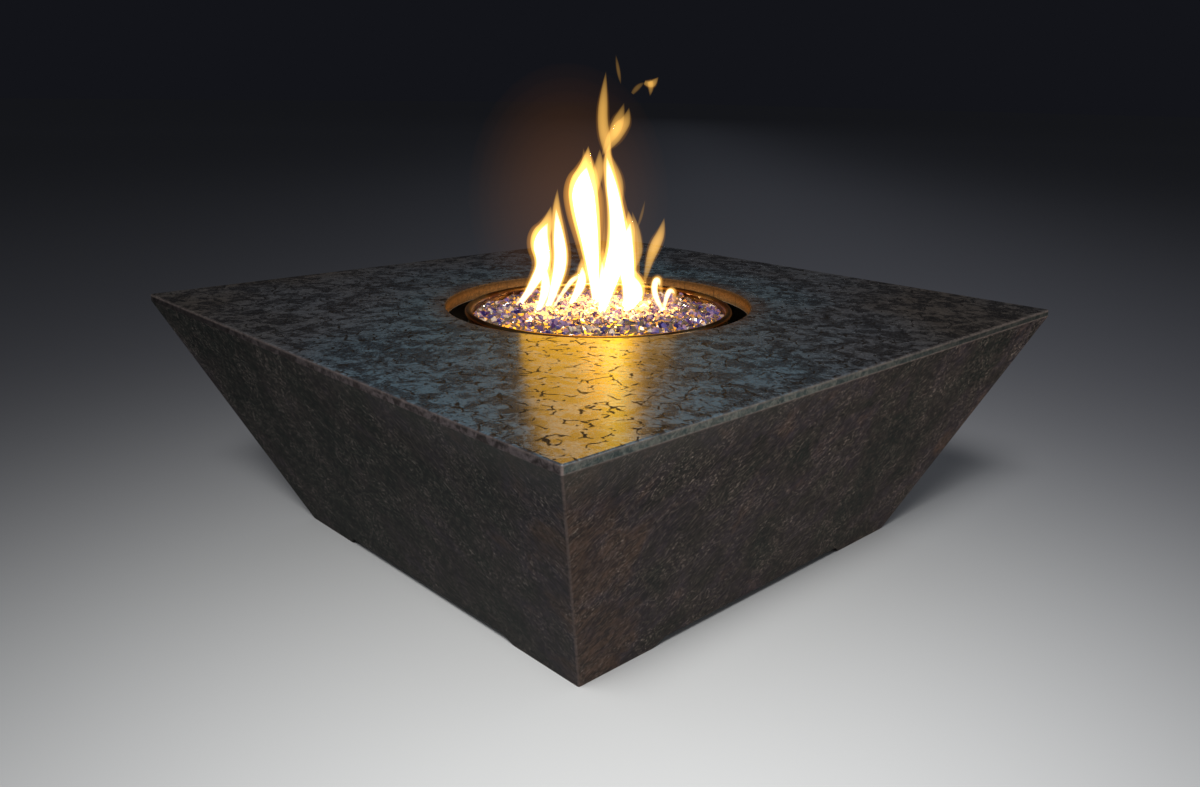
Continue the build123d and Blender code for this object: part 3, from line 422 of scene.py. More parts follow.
# Sand-cast and oiled black, so it is dull and faintly pebbled
SAND_MM = 1.2
black_iron = new_material("black_malleable_iron", "#1d1c1c", 0.5, Metallic=0.55)
casting = mottle(black_iron, SAND_MM, 4.0, gloss=(0.4, 0.65))
casting_bump = add_node(black_iron, "Bump", {"Height": casting, "Strength": 0.4, "Distance": 0.0003})
link_shader(black_iron, Normal=casting_bump)
finish_nodes(black_iron, "inlet_nipple", "burner_elbow", "inlet_elbow")

# Pressed from fibres and rubber, so it is matt and mottled green
FIBRE_MM = 0.8
fibre = new_material("pressed_gasket_fibre", "#3f5549", 0.9)
mottle(fibre, FIBRE_MM, 5.0, tints=((0.3, "#34473d"), (0.7, "#56695c")))
finish_nodes(fibre, "pan_gasket")

# ---------------------------------------------------------------------------
# Key valve. A forged and turned brass body, cap, gland and fittings, PTFE seats and
# packing, and a ball plated bright.

# Turned and then handled, so it is bright in places and tarnished brown in others
TARNISH_MM = 14.0
brass = new_material("turned_brass", "#c8a04e", 0.28, Metallic=1.0)
mottle(brass, TARNISH_MM, 5.0, gloss=(0.4, 0.2), tints=((0.35, "#9c7a3c"), (0.6, "#d0ab5c")))
finish_nodes(brass, "valve_body", "valve_end_cap", "packing_gland", "valve_locknut", "valve_stem",
             "outlet_adapter", "hose_nuts", "gas_jet", "valve_washer")

# Pressed and sintered, so it is white and waxy, and handling has dulled it in places
HANDLING_MM = 6.0
seal = new_material("pressed_ptfe", "#e9e8e3", 0.35)
mottle(seal, HANDLING_MM, 3.0, gloss=(0.28, 0.5))
finish_nodes(seal, "ball_seats", "stem_packing")

# ---------------------------------------------------------------------------
# Escutcheon and key. Brass polished and plated with bright chrome, hazed a little by
# hands and by rain.

SMEAR_MM = 22.0
chrome = new_material("bright_chrome_plate", "#d3d5d8", 0.08, Metallic=1.0)
place = add_node(chrome, "TexCoord", output="Object")
hazing = add_node(chrome, "TexNoise", {"Vector": place, "Scale": 1000 / SMEAR_MM, "Detail": 6.0,
                                       "Roughness": 0.7})
chrome_roughness = add_node(chrome, "MapRange", {"Value": hazing, "From Min": 0.35, "From Max": 0.7,
                                                 "To Min": 0.05, "To Max": 0.22})
link_shader(chrome, Roughness=chrome_roughness)
finish_nodes(chrome, "escutcheon", "key_shaft", "key_handle", "valve_ball")

# ---------------------------------------------------------------------------
# Flexible hose. Thin stainless tube, rolled into close ring corrugations, between two
# plain collars that its nuts hold. It hangs in one bow inside the body.

# Control points of its centre line, from the valve's adapter to the burner's elbow
HOSE_ROUTE = ((-0.115, 0.47533, 0.33118), (0.025, 0.47533, 0.33118), (0.200, 0.350, 0.290),
              (0.255, 0.170, 0.280), (0.201, 0.0, 0.32265), (0.045, 0.0, 0.32265))
CREST_RADIUS = 0.008
ROOT_RADIUS = 0.0068
HOSE_PITCH = 0.0048
STEPS_A_RING = 4  # of the mesh along one corrugation
COLLAR_LENGTH = 0.024
HOSE_SIDES = 16
POLISH_MM = 7.0

route_curve = bpy.data.curves.new("hose_route", "CURVE")
route_curve.dimensions = "3D"
route_curve.resolution_u = 40
route = route_curve.splines.new("NURBS")
route.points.add(len(HOSE_ROUTE) - 1)
for point, spot in zip(route.points, HOSE_ROUTE):
    point.co = (*spot, 1.0)
route.order_u = 3
route.use_endpoint_u = True
route_object = bpy.data.objects.new("hose_route", route_curve)
bpy.context.scene.collection.objects.link(route_object)
route_mesh = bpy.data.meshes.new_from_object(route_object)
route_points = [vertex.co.copy() for vertex in route_mesh.vertices]
bpy.data.objects.remove(route_object)


def along_route(points, step):
    """Points at even steps along a line of points."""
    spots, left_over = [points[0]], step
    for start, end in zip(points, points[1:]):
        run = (end - start).length
        reached = left_over
        while reached <= run:
            spots.append(start.lerp(end, reached / run))
            reached += step
        left_over = reached - run
    return spots


step_length = HOSE_PITCH / STEPS_A_RING
hose_line = along_route(route_points, step_length)
hose_mesh = bmesh.new()
ring_before, side = None, Vector((0, 0, 1))
collar_steps = round(COLLAR_LENGTH / step_length)
last_step = len(hose_line) - 1
for step, spot in enumerate(hose_line):
    heading = (hose_line[min(step + 1, last_step)] - hose_line[max(step - 1, 0)]).normalized()
    side = (side - heading * side.dot(heading)).normalized()
    other = heading.cross(side)
    in_collar = step < collar_steps or step > last_step - collar_steps
    wave = 0.5 - 0.5 * math.cos(math.tau / STEPS_A_RING * step)
    ring_radius = CREST_RADIUS if in_collar else ROOT_RADIUS + (CREST_RADIUS - ROOT_RADIUS) * wave
    ring = []
    for corner_number in range(HOSE_SIDES):
        angle = math.tau * corner_number / HOSE_SIDES
        outwards = side * math.cos(angle) + other * math.sin(angle)
        ring.append(hose_mesh.verts.new(spot + outwards * ring_radius))
    if ring_before:
        for corner_number in range(HOSE_SIDES):
            following = (corner_number + 1) % HOSE_SIDES
            hose_mesh.faces.new((ring_before[corner_number], ring_before[following],
                                 ring[following], ring[corner_number]))
    else:
        hose_mesh.faces.new(list(reversed(ring)))
    ring_before = ring
hose_mesh.faces.new(ring_before)
corrugated = bpy.data.meshes.new("corrugated_hose")
hose_mesh.to_mesh(corrugated)
hose_mesh.free()
hose = bpy.data.objects.new("corrugated_hose", corrugated)
bpy.context.scene.collection.objects.link(hose)
bpy.context.view_layer.objects.active = hose
hose.select_set(True)
bpy.ops.object.shade_smooth_by_angle(angle=math.radians(60))
hose.select_set(False)

# Rolled from bright strip, so it shines, with a slight drift in its polish
hose_steel = new_material("corrugated_stainless", "#b9bbbb", 0.3, Metallic=1.0)
mottle(hose_steel, POLISH_MM, 4.0, gloss=(0.22, 0.42))
hose.data.materials.append(hose_steel)
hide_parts("flex_hose")
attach(hose, "table")

# ---------------------------------------------------------------------------
# Fire glass. Tempered glass, crushed to chunks of 11 to 18 mm and tumbled so that it can be
# handled. Cobalt, violet and clear are mixed, and some chunks carry a mirror coat.

GLASS_RADIUS = 0.2455
CHUNK_SPACING = 0.0122
ROW_SHARE = 0.87  # of the spacing, between rows, because the chunks lie in triangles
CHUNK_STRAY = 0.0035  # of a chunk from its place, to each side
CHUNK_LIFT = 0.002  # up or down
CHUNK_LAYERS = 3
LAYER_DROP = 0.0075
CHUNK_SHAPES = 8
CHUNK_CUTS = 6
CHUNK_SIZE = (0.0110, 0.0180)
CHUNK_STRETCH = ((0.75, 1.15), (0.75, 1.15), (0.5, 0.9))  # most chunks are flattish
GLASS_MIX = (("cobalt", 0.34), ("violet", 0.44), ("clear", 0.22))
chance = random.Random(11)

# Each shape of chunk is a cube with its corners struck off by flat cuts
chunk_shapes = []
for _ in range(CHUNK_SHAPES):
    bpy.ops.mesh.primitive_cube_add(size=1.0)
    lump = bpy.context.object
    bpy.ops.object.mode_set(mode="EDIT")
    for _ in range(CHUNK_CUTS):
        facing = Vector([chance.uniform(-1, 1) for _ in range(3)]).normalized()
        bpy.ops.mesh.select_all(action="SELECT")
        bpy.ops.mesh.bisect(plane_co=facing * chance.uniform(0.3, 0.46), plane_no=facing, use_fill=True,
                            clear_outer=True)
    bpy.ops.object.mode_set(mode="OBJECT")
    corners = [vertex.co.copy() for vertex in lump.data.vertices]
    facets = [list(face.vertices) for face in lump.data.polygons]
    chunk_shapes.append((corners, facets))
    bpy.data.objects.remove(lump)


def bed_height(spot_x, spot_y):
    """Height of the bed's lumpy surface at a place on it."""
    from_above = Vector((spot_x, spot_y, 1)), Vector((0, 0, -1))
    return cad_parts["fire_glass"].ray_cast(*from_above)[1].z


glass_heaps = {name: ([], []) for name, share in GLASS_MIX}
rows = int(GLASS_RADIUS / CHUNK_SPACING) + 2
for layer in range(CHUNK_LAYERS):
    shift = layer * CHUNK_SPACING / 2
    for row in range(-rows, rows + 1):
        for column in range(-rows, rows + 1):
            spot_x = (column + 0.5 * (row % 2)) * CHUNK_SPACING + shift
            spot_x += chance.uniform(-CHUNK_STRAY, CHUNK_STRAY)
            spot_y = row * CHUNK_SPACING * ROW_SHARE + shift
            spot_y += chance.uniform(-CHUNK_STRAY, CHUNK_STRAY)
            size = chance.uniform(*CHUNK_SIZE)
            angle, axis = chance.uniform(0, math.tau), Vector([chance.uniform(-1, 1) for _ in range(3)])
            lift = chance.uniform(-CHUNK_LIFT, CHUNK_LIFT)
            corners, facets = chance.choice(chunk_shapes)
            kind = chance.choices(GLASS_MIX, [share for name, share in GLASS_MIX])[0][0]
            stretch = Vector([chance.uniform(*span) for span in CHUNK_STRETCH])
            if math.hypot(spot_x, spot_y) > GLASS_RADIUS - size / 2:
                continue
            chunk_height = bed_height(spot_x, spot_y) - size / 3 - layer * LAYER_DROP + lift
            middle = Vector((spot_x, spot_y, chunk_height))
            turn = Matrix.Rotation(angle, 3, axis)
            heap_corners, heap_facets = glass_heaps[kind]
            first = len(heap_corners)
            for corner_spot in corners:
                shaped = Vector(c * s for c, s in zip(corner_spot, stretch))
                heap_corners.append(middle + turn @ shaped * size)
            heap_facets.extend([first + index for index in facet] for facet in facets)

GLASS_TINTS = {"cobalt": ("#322868", "#7a72b8"), "violet": ("#603e78", "#b498bc"),
               "clear": ("#b4a498", "#f0e4d4")}
TINT_MM = 11.0
MIRROR_COAT = "#e4cdb0"
UNCOATED_SHARE = 0.55
COAT_METALLIC = 0.75  # the coat is thin, and the glass shows through it
for name, (heap_corners, heap_facets) in glass_heaps.items():
    heap = bpy.data.meshes.new(f"fire_glass_{name}")
    heap.from_pydata(heap_corners, [], heap_facets)
    heap_object = bpy.data.objects.new(f"fire_glass_{name}", heap)
    bpy.context.scene.collection.objects.link(heap_object)
    deep, pale = GLASS_TINTS[name]
    glass = new_material(f"crushed_{name}_glass", deep, 0.06, IOR=1.52, Transmission_Weight=0.45)
    place = add_node(glass, "TexCoord", output="Object")
    chunk_tint = add_node(glass, "TexVoronoi", {"Vector": place, "Scale": 1000 / TINT_MM}, output="Color")
    tint_value = add_node(glass, "SeparateColor", {0: chunk_tint}, output="Red")
    tint = add_node(glass, "ValToRGB", {"Fac": tint_value}, stops=((0.1, deep), (0.85, pale)))
    coat_value = add_node(glass, "SeparateColor", {0: chunk_tint}, output="Green")
    mirror = add_node(glass, "Math", {0: coat_value, 1: UNCOATED_SHARE}, operation="GREATER_THAN")
    tint = add_node(glass, "MixRGB", {"Fac": mirror, "Color1": tint, "Color2": to_linear(MIRROR_COAT)})
    coated = add_node(glass, "Math", {0: mirror, 1: COAT_METALLIC}, operation="MULTIPLY")
    link_shader(glass, Base_Color=tint, Metallic=coated)
    heap.materials.append(glass)
    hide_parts("fire_glass")
    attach(heap_object, "table")

# ---------------------------------------------------------------------------
# Flames. Natural gas burning at the inner ring. They aren't part of the object: each is a
# clear shape filled with a glow, hot and white where it is thick and orange where thin.

ACROSS = Vector((0.7052, 0.7090, 0.0))
INWARD = Vector((-0.7090, 0.7052, 0.0))
# Each tongue: its depth, how hot it is, and from root to tip how far across, how high, and
# half its thickness in millimetres, where 1 is an end that runs out to a point
TONGUES = (
    (0.03, 1.0, ((-0.152, 0.447, 6), (-0.128, 0.485, 13), (-0.106, 0.525, 19), (-0.118, 0.572, 25),
                 (-0.100, 0.603, 12), (-0.094, 0.636, 2))),
    (-0.04, 1.0, ((-0.116, 0.440, 6), (-0.103, 0.468, 10), (-0.096, 0.505, 15), (-0.104, 0.545, 14),
                  (-0.098, 0.585, 4))),
    (0.0, 1.0, ((-0.098, 0.444, 7), (-0.084, 0.485, 14), (-0.072, 0.535, 19), (-0.078, 0.590, 15),
                (-0.082, 0.635, 9), (-0.079, 0.672, 2))),
    (0.02, 1.0, ((-0.058, 0.446, 5), (-0.042, 0.470, 12), (-0.032, 0.500, 15), (-0.034, 0.522, 10),
                 (-0.034, 0.540, 3))),
    (0.06, 1.2, ((-0.010, 0.450, 9), (-0.014, 0.505, 17), (-0.021, 0.565, 25), (-0.031, 0.625, 33),
                 (-0.037, 0.672, 33), (-0.028, 0.708, 16), (-0.025, 0.748, 2))),
    (0.07, 0.6, ((-0.020, 0.630, 1), (-0.010, 0.680, 15), (-0.003, 0.722, 8), (-0.004, 0.742, 2))),
    (0.065, 0.5, ((-0.045, 0.600, 1), (-0.040, 0.650, 16), (-0.030, 0.705, 10), (-0.035, 0.744, 1))),
    (0.065, 0.5, ((-0.012, 0.610, 1), (-0.013, 0.670, 12), (-0.017, 0.710, 6), (-0.021, 0.734, 1))),
    (-0.05, 1.1, ((0.004, 0.438, 8), (0.014, 0.480, 17), (0.028, 0.530, 26), (0.038, 0.580, 25),
                  (0.032, 0.640, 18), (0.021, 0.695, 14), (0.014, 0.735, 9), (0.021, 0.762, 6))),
    (-0.04, 0.6, ((0.018, 0.715, 1), (0.013, 0.755, 12), (0.005, 0.795, 11), (0.007, 0.840, 9),
                  (0.011, 0.884, 1))),
    (-0.04, 0.45, ((0.004, 0.735, 1), (0.020, 0.760, 14), (0.036, 0.785, 16), (0.050, 0.800, 10),
                   (0.053, 0.822, 1))),
    (-0.04, 0.4, ((0.018, 0.755, 1), (0.026, 0.775, 12), (0.034, 0.797, 13), (0.040, 0.815, 6),
                  (0.044, 0.830, 1))),
    (0.01, 0.9, ((-0.160, 0.447, 3), (-0.145, 0.462, 6), (-0.128, 0.486, 7), (-0.117, 0.511, 6),
                 (-0.112, 0.530, 2))),
    (0.0, 0.9, ((-0.086, 0.447, 3), (-0.066, 0.480, 6), (-0.046, 0.505, 8), (-0.033, 0.508, 7),
                (-0.034, 0.483, 2))),
    (0.0, 0.5, ((0.078, 0.450, 5), (0.090, 0.462, 9), (0.104, 0.470, 7), (0.113, 0.487, 1))),
    (0.02, 0.9, ((-0.008, 0.447, 4), (0.002, 0.470, 10), (0.006, 0.500, 12), (0.004, 0.535, 8),
                 (0.006, 0.560, 2))),
    (-0.05, 0.5, ((0.040, 0.630, 1), (0.037, 0.660, 10), (0.034, 0.690, 13), (0.026, 0.718, 9),
                  (0.018, 0.745, 1))),
    (0.0, 1.0, ((0.050, 0.444, 7), (0.058, 0.478, 16), (0.052, 0.520, 22), (0.050, 0.570, 21),
                (0.058, 0.610, 10), (0.053, 0.634, 2))),
    (-0.02, 1.0, ((0.052, 0.444, 7), (0.068, 0.462, 16), (0.074, 0.490, 19), (0.066, 0.512, 14),
                  (0.058, 0.53, 6))),
    (0.02, 0.6, ((0.062, 0.510, 1), (0.077, 0.540, 8), (0.072, 0.585, 8), (0.064, 0.615, 4),
                 (0.060, 0.630, 1))),
    (0.03, 0.7, ((0.086, 0.490, 3), (0.094, 0.530, 8), (0.105, 0.562, 13), (0.118, 0.590, 9),
                 (0.122, 0.617, 1))),
    (-0.01, 0.9, ((0.122, 0.444, 5), (0.108, 0.468, 8), (0.104, 0.492, 9), (0.112, 0.508, 10),
                  (0.116, 0.490, 5), (0.124, 0.462, 4))),
    (-0.01, 1.0, ((0.124, 0.447, 4), (0.129, 0.476, 7), (0.138, 0.486, 8), (0.145, 0.476, 6),
                  (0.139, 0.444, 3))),
    (0.0, 0.35, ((0.027, 0.914, 1), (0.032, 0.885, 7), (0.037, 0.862, 1))),
    (0.0, 0.25, ((0.058, 0.846, 3), (0.068, 0.860, 8), (0.080, 0.866, 4))),
    (0.0, 0.6, ((0.080, 0.866, 4), (0.091, 0.862, 9), (0.099, 0.868, 6), (0.105, 0.876, 1))),
    (0.0, 0.5, ((0.090, 0.868, 6), (0.093, 0.856, 7), (0.090, 0.842, 1))),
    (0.0, 0.4, ((0.070, 0.598, 1), (0.078, 0.618, 6), (0.085, 0.654, 1))),
)
# Each layer's light for each metre of flame looked through, and its share of width and height
FLAME_LAYERS = (
    ("fringe", (9.0, 3.8, 0.5), 1.2, 1.0),
    ("sheath", (50.0, 28.0, 6.0), 0.88, 1.0),
    ("core", (240.0, 175.0, 100.0), 0.66, 0.84),
)
CORE_HEAT = 0.9  # cooler tongues have no white core
POINT_RADIUS_MM = 0.1


def flame_gas(name, glow, heat):
    """A clear gas that gives off light all through and throws none of it back."""
    gas = bpy.data.materials.new(name)
    gas.use_nodes = True
    gas.node_tree.nodes.remove(gas.node_tree.nodes["Principled BSDF"])
    strength = max(glow) * heat
    colour = [channel / max(glow) for channel in glow] + [1.0]
    light = add_node(gas, "Emission", {"Color": colour, "Strength": strength})
    end = gas.node_tree.nodes["Material Output"]
    gas.node_tree.links.new(light, end.inputs["Volume"])
    return gas


def flame_tongue(name, depth, points, width_share, height_share, material):
    """A tongue of flame: a smooth bent spindle through its points."""
    line = bpy.data.curves.new(name, "CURVE")
    line.dimensions = "3D"
    line.bevel_depth = 0.001  # so a point's radius is in millimetres
    line.bevel_resolution = 5
    line.use_fill_caps = True
    spline = line.splines.new("NURBS")
    kept = max(3, round(len(points) * height_share))
    spline.points.add(kept - 1)
    for point, (across_m, height, half_width) in zip(spline.points, points[:kept]):
        spot = ACROSS * across_m + INWARD * depth + Vector((0, 0, height))
        point.co = (*spot, 1.0)
        point.radius = half_width * width_share if half_width > 1 else POINT_RADIUS_MM
    spline.points[kept - 1].radius = POINT_RADIUS_MM
    spline.order_u = 3
    spline.use_endpoint_u = True
    spline.resolution_u = 8
    tongue = bpy.data.objects.new(name, line)
    bpy.context.scene.collection.objects.link(tongue)
    line.materials.append(material)
    tongue.visible_diffuse = tongue.visible_shadow = tongue.visible_glossy = False


for number, (depth, heat, points) in enumerate(TONGUES):
    for layer, glow, width_share, height_share in FLAME_LAYERS:
        if layer != "core" or heat >= CORE_HEAT:
            name = f"flame_{layer}_{number}"
            flame_tongue(name, depth, points, width_share, height_share, flame_gas(name, glow, heat))

# Haze that the fire lights, in nested shells, brightest beside the tall tongues
HAZE_CENTRE = ACROSS * -0.06 + INWARD * 0.02 + Vector((0, 0, 0.65))
HAZE_SIZE = Vector((0.19, 0.13, 0.25))
HAZE_GLOW = (0.036, 0.012, 0.001)
HAZE_SHELLS = 10
across_and_in = Matrix((ACROSS, INWARD, Vector((0, 0, 1)))).transposed().to_4x4()
for shell in range(HAZE_SHELLS):
    bpy.ops.mesh.primitive_uv_sphere_add(segments=32, ring_count=16)
    haze = bpy.context.object
    haze.name = f"lit_haze_{shell}"
    size = HAZE_SIZE * (1 - shell / HAZE_SHELLS)
    haze.data.transform(Matrix.Translation(HAZE_CENTRE) @ across_and_in @ Matrix.Diagonal((*size, 1.0)))
    haze.data.materials.append(flame_gas(haze.name, HAZE_GLOW, 1.0))
    haze.visible_diffuse = haze.visible_shadow = haze.visible_glossy = False

# ---------------------------------------------------------------------------
# Fire as the gloss sees it. The flames dance, so what polished concrete, metal and glass
# mirror is their blurred golden hull, not one still tongue. Only reflections show it.

# Each ring of the hull: its height, and how far it reaches to the left and to the right
HULL_RINGS = ((0.450, -0.150, 0.150), (0.520, -0.151, 0.148), (0.590, -0.146, 0.135),
              (0.640, -0.138, 0.090), (0.700, -0.125, 0.078), (0.800, -0.104, 0.070),
              (0.860, -0.080, 0.050))
HULL_REACH = 0.16
HULL_DEPTH_SHARE = 0.75
HULL_GLOW = 3.8
HULL_INSIDE = (0.95, 0.58, 0.25, 1.0)  # its inner side, which the glass below it mirrors
# How the glow fades: between which two heights, and its level at each
HULL_FADES = ((0.47, 0.56, 1.6, 1.0), (0.60, 0.86, 1.0, 0.78))
bpy.ops.mesh.primitive_cylinder_add(vertices=48, radius=1.0, depth=1.0, end_fill_type="NOTHING")
hull = bpy.context.object
hull.name = "fire_hull"
hull_low = [vertex.co.copy() for vertex in hull.data.vertices if vertex.co.z < 0]
hull_shape = bmesh.new()
hull_rings = []
for height, left, right in HULL_RINGS:
    half_width = (right - left) / 2
    hull_ring = []
    for corner_spot in hull_low:
        sideways = ACROSS * (left + half_width + corner_spot.x * half_width)
        inwards = INWARD * corner_spot.y * half_width * HULL_DEPTH_SHARE
        hull_ring.append(hull_shape.verts.new(sideways + inwards + Vector((0, 0, height))))
    hull_rings.append(hull_ring)
for lower, upper in zip(hull_rings, hull_rings[1:]):
    for place_number in range(len(lower)):
        after = (place_number + 1) % len(lower)
        hull_shape.faces.new((lower[place_number], upper[place_number], upper[after], lower[after]))
hull_shape.faces.new(list(reversed(hull_rings[-1])))
hull_shape.to_mesh(hull.data)
hull_shape.free()
for hidden_from in ("visible_camera", "visible_diffuse", "visible_shadow"):
    setattr(hull, hidden_from, False)
hull_light = new_material("fire_seen_in_gloss", "#000000", 1.0, Specular_IOR_Level=0.0,
                          Emission_Strength=HULL_GLOW)
place = add_node(hull_light, "TexCoord", output="Object")
hull_across = add_node(hull_light, "VectorMath", {0: place, 1: tuple(ACROSS)}, output="Value",
                       operation="DOT_PRODUCT")
hull_across = add_node(hull_light, "MapRange", {"Value": hull_across, "From Min": -HULL_REACH,
                                                "From Max": HULL_REACH})
hull_colour = add_node(hull_light, "ValToRGB", {"Fac": hull_across},
                       stops=((0.0, "#a87800"), (0.12, "#b48000"), (0.5, "#c69000"), (0.62, "#e8ba14"),
                              (0.72, "#b27c00"), (0.79, "#664600"), (1.0, "#4e3400")))
hull_height = add_node(hull_light, "SeparateXYZ", {0: place}, output="Z")
for low, high, low_level, high_level in HULL_FADES:
    hull_fade = add_node(hull_light, "MapRange", {"Value": hull_height, "From Min": low, "From Max": high,
                                                  "To Min": low_level, "To Max": high_level})
    hull_colour = add_node(hull_light, "VectorMath", {0: hull_colour, "Scale": hull_fade}, operation="SCALE")
from_inside = add_node(hull_light, "NewGeometry", output="Backfacing")
hull_colour = add_node(hull_light, "MixRGB", {"Fac": from_inside, "Color1": hull_colour,
                                              "Color2": HULL_INSIDE})
link_shader(hull_light, Emission_Color=hull_colour)
hull.data.materials.append(hull_light)

# ---------------------------------------------------------------------------
# Floor, backdrop, lamps and camera. The pool of light on the floor and the dark round it are
# the colour that the camera and reflections get. Diffuse rays get a plain grey from the
# floor and the world, so that neither tints the object.

POOL_CENTRE = (0.840, -0.702)
POOL_WIDTH = 2.4
POOL_FRONT = 1.93
POOL_BACK = 3.222
POOL_COLOUR = (0.745, 0.745, 0.718)
BEAM_WIDTH = 2.0  # of the faint light that runs on behind the object
BEAM_OFFSET = 0.835
BEAM_LEVEL = 0.066
BEAM_COLOUR = (0.97, 0.99, 1.12)
FLOOR_SIZE = 120.0
bpy.ops.mesh.primitive_plane_add(size=FLOOR_SIZE)
floor = bpy.context.object
floor.name = "floor"
studio_floor = new_material("studio_floor", "#d9d9d6", 0.9, Specular_IOR_Level=0.0)
floor.data.materials.append(studio_floor)
floor_place = add_node(studio_floor, "TexCoord", output="Object")
from_pool = add_node(studio_floor, "VectorMath", {0: floor_place, 1: (*POOL_CENTRE, 0.0)},
                     operation="SUBTRACT")
distance = add_node(studio_floor, "VectorMath", {0: from_pool}, output="Value", operation="LENGTH")
lateral = add_node(studio_floor, "VectorMath", {0: from_pool, 1: tuple(ACROSS)}, output="Value",
                   operation="DOT_PRODUCT")
behind = add_node(studio_floor, "VectorMath", {0: from_pool, 1: tuple(INWARD)}, output="Value",
                  operation="DOT_PRODUCT")
is_behind = add_node(studio_floor, "Math", {0: behind, 1: 0.0}, operation="GREATER_THAN")
pool_depth = add_node(studio_floor, "Mix", {0: is_behind, 2: POOL_FRONT, 3: POOL_BACK})
behind = add_node(studio_floor, "Math", {0: behind, 1: pool_depth}, operation="DIVIDE")
beside = add_node(studio_floor, "Math", {0: lateral, 1: POOL_WIDTH}, operation="DIVIDE")
falloff = add_node(studio_floor, "Math", {0: beside, 1: beside, 2: 1.0}, operation="MULTIPLY_ADD")
falloff = add_node(studio_floor, "Math", {0: behind, 1: behind, 2: falloff}, operation="MULTIPLY_ADD")
falloff = add_node(studio_floor, "Math", {0: falloff, 1: -6.0}, operation="POWER")
pool = add_node(studio_floor, "VectorMath", {0: POOL_COLOUR, "Scale": falloff}, operation="SCALE")
near_by = add_node(studio_floor, "MapRange", {"Value": distance, "From Min": 8.0, "From Max": 35.0,
                                              "To Min": 1.0, "To Max": 0.0})
rest_level = add_node(studio_floor, "MapRange", {"Value": distance, "From Min": 4.0, "From Max": 20.0,
                                                 "To Min": 0.020, "To Max": 0.032})
beam = add_node(studio_floor, "Math", {0: lateral, 1: BEAM_OFFSET}, operation="SUBTRACT")
beam = add_node(studio_floor, "Math", {0: beam, 1: BEAM_WIDTH}, operation="DIVIDE")
beam = add_node(studio_floor, "Math", {0: beam, 1: beam, 2: 1.0}, operation="MULTIPLY_ADD")
beam = add_node(studio_floor, "Math", {0: BEAM_LEVEL, 1: beam}, operation="DIVIDE")
beam = add_node(studio_floor, "Math", {0: beam, 1: near_by, 2: rest_level}, operation="MULTIPLY_ADD")
far_floor = add_node(studio_floor, "VectorMath", {0: BEAM_COLOUR, "Scale": beam}, operation="SCALE")
pool = add_node(studio_floor, "VectorMath", {0: pool, 1: far_floor}, operation="ADD")
seen = add_node(studio_floor, "LightPath", output="Is Diffuse Ray")
floor_colour = add_node(studio_floor, "MixRGB", {"Fac": seen, "Color1": pool, "Color2": to_linear("#5c5c5a")})
link_shader(studio_floor, Base_Color=floor_colour)

world = bpy.data.worlds.new("studio")
bpy.context.scene.world = world
world.use_nodes = True
backdrop = world.node_tree.nodes["Background"]
diffuse_ray = add_node(world, "LightPath", output="Is Diffuse Ray")
air = add_node(world, "MixRGB", {"Fac": diffuse_ray, "Color1": to_linear("#131419"),
                                 "Color2": to_linear("#82858b")})
world.node_tree.links.new(air, backdrop.inputs["Color"])
backdrop.inputs["Strength"].default_value = 1.0


def soft_lamp(name, spot, aim, size, power, colour):
    """A square soft box that faces a point and that the camera doesn't see."""
    lamp = bpy.data.lights.new(name, "AREA")
    lamp.size = size
    lamp.energy = power
    lamp.color = to_linear(colour)[:3]
    holder = bpy.data.objects.new(name, lamp)
    bpy.context.scene.collection.objects.link(holder)
    turn = (Vector(spot) - Vector(aim)).to_track_quat("Z", "Y")
    holder.matrix_world = Matrix.Translation(spot) @ turn.to_matrix().to_4x4()
    holder.visible_camera = False
    return holder


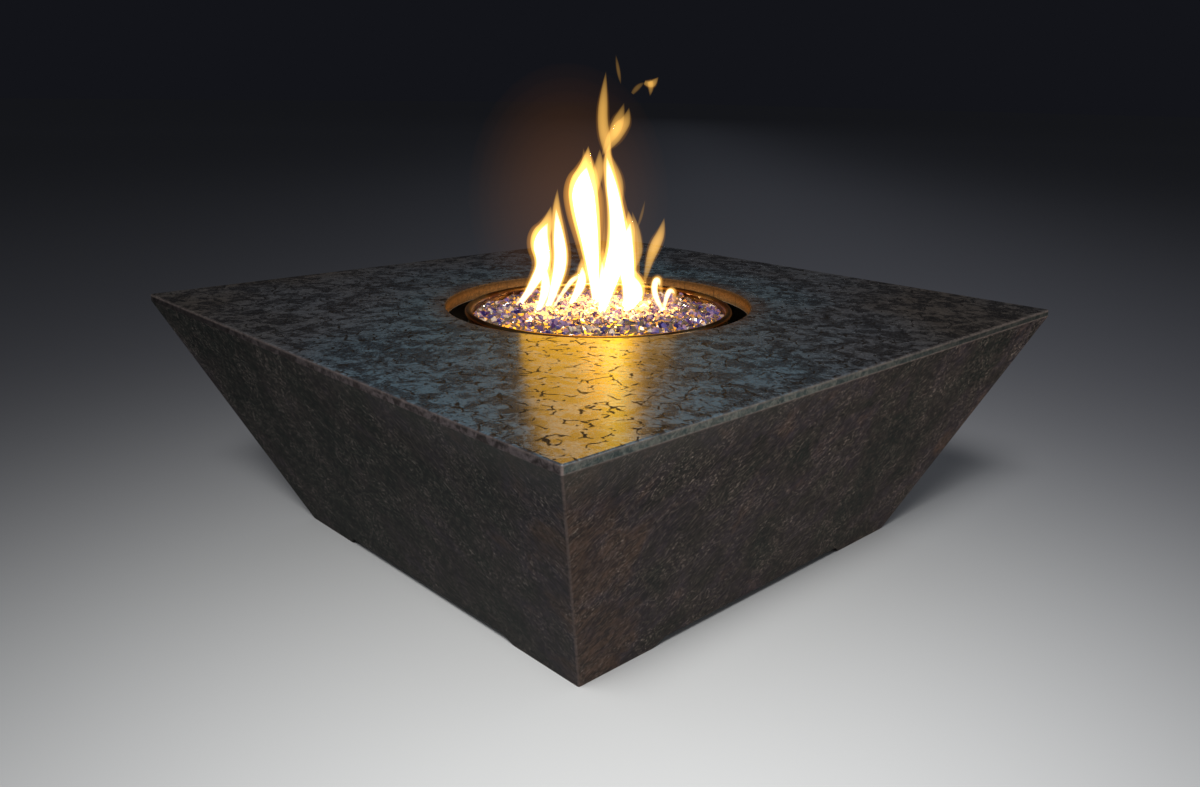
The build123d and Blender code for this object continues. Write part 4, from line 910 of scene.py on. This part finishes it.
soft_lamp("key_lamp", (3.20, -4.09, 5.94), (0, 0, 0.2), 2.0, 520.0, "#ffffff")
side_lamp = soft_lamp("side_lamp", (3.0, 0.8, 1.2), (0.3, 0, 0.2), 1.8, 42.0, "#fff0e4")
back_lamp = soft_lamp("back_lamp", (-2.2, 2.9, 1.3), (0, 0, 0.2), 1.8, 34.0, "#ffffff")
back_lamp.visible_glossy = False

# The two fill lamps shape the object only, so the floor is kept out of their light
unlit = bpy.data.collections.new("not_lit_by_fill_lamps")
unlit.objects.link(floor)
unlit.collection_objects[0].light_linking.link_state = "EXCLUDE"
side_lamp.light_linking.receiver_collection = unlit
back_lamp.light_linking.receiver_collection = unlit

FIRE_COLOUR = "#ffb44a"


def fire_lamp(name, spot, radius_m, power):
    """A small round lamp that lights the object as the fire does."""
    lamp = bpy.data.lights.new(name, "POINT")
    lamp.energy = power
    lamp.shadow_soft_size = radius_m
    lamp.color = to_linear(FIRE_COLOUR)[:3]
    holder = bpy.data.objects.new(name, lamp)
    bpy.context.scene.collection.objects.link(holder)
    holder.location = spot
    holder.visible_camera = False


fire_lamp("fire_low", (0.008, 0.008, 0.50), 0.04, 2.8)
fire_lamp("fire_high", (0.0, 0.0, 0.78), 0.05, 2.0)

CAMERA_PLACE = (1.38272, -1.26318, 0.84848)
camera_data = bpy.data.cameras.new("camera")
camera_data.sensor_width = 36.0
camera_data.lens = 29.905
camera_data.shift_x = -0.0333
camera_data.shift_y = -0.05
camera_data.clip_end = 200.0
camera = bpy.data.objects.new("camera", camera_data)
bpy.context.scene.collection.objects.link(camera)
bpy.context.scene.camera = camera
azimuth, dip, roll = math.radians(-45.16), math.radians(13.60), math.radians(0.968)
ahead = Vector((math.sin(azimuth) * math.cos(dip), math.cos(azimuth) * math.cos(dip), -math.sin(dip)))
level = Vector((math.cos(azimuth), -math.sin(azimuth), 0.0))
above = level.cross(ahead)
right = level * math.cos(roll) + above * math.sin(roll)
up = above * math.cos(roll) - level * math.sin(roll)
turned = Matrix((right, up, -ahead)).transposed().to_4x4()
camera.matrix_world = Matrix.Translation(CAMERA_PLACE) @ turned

bpy.context.scene.view_settings.view_transform = "Standard"
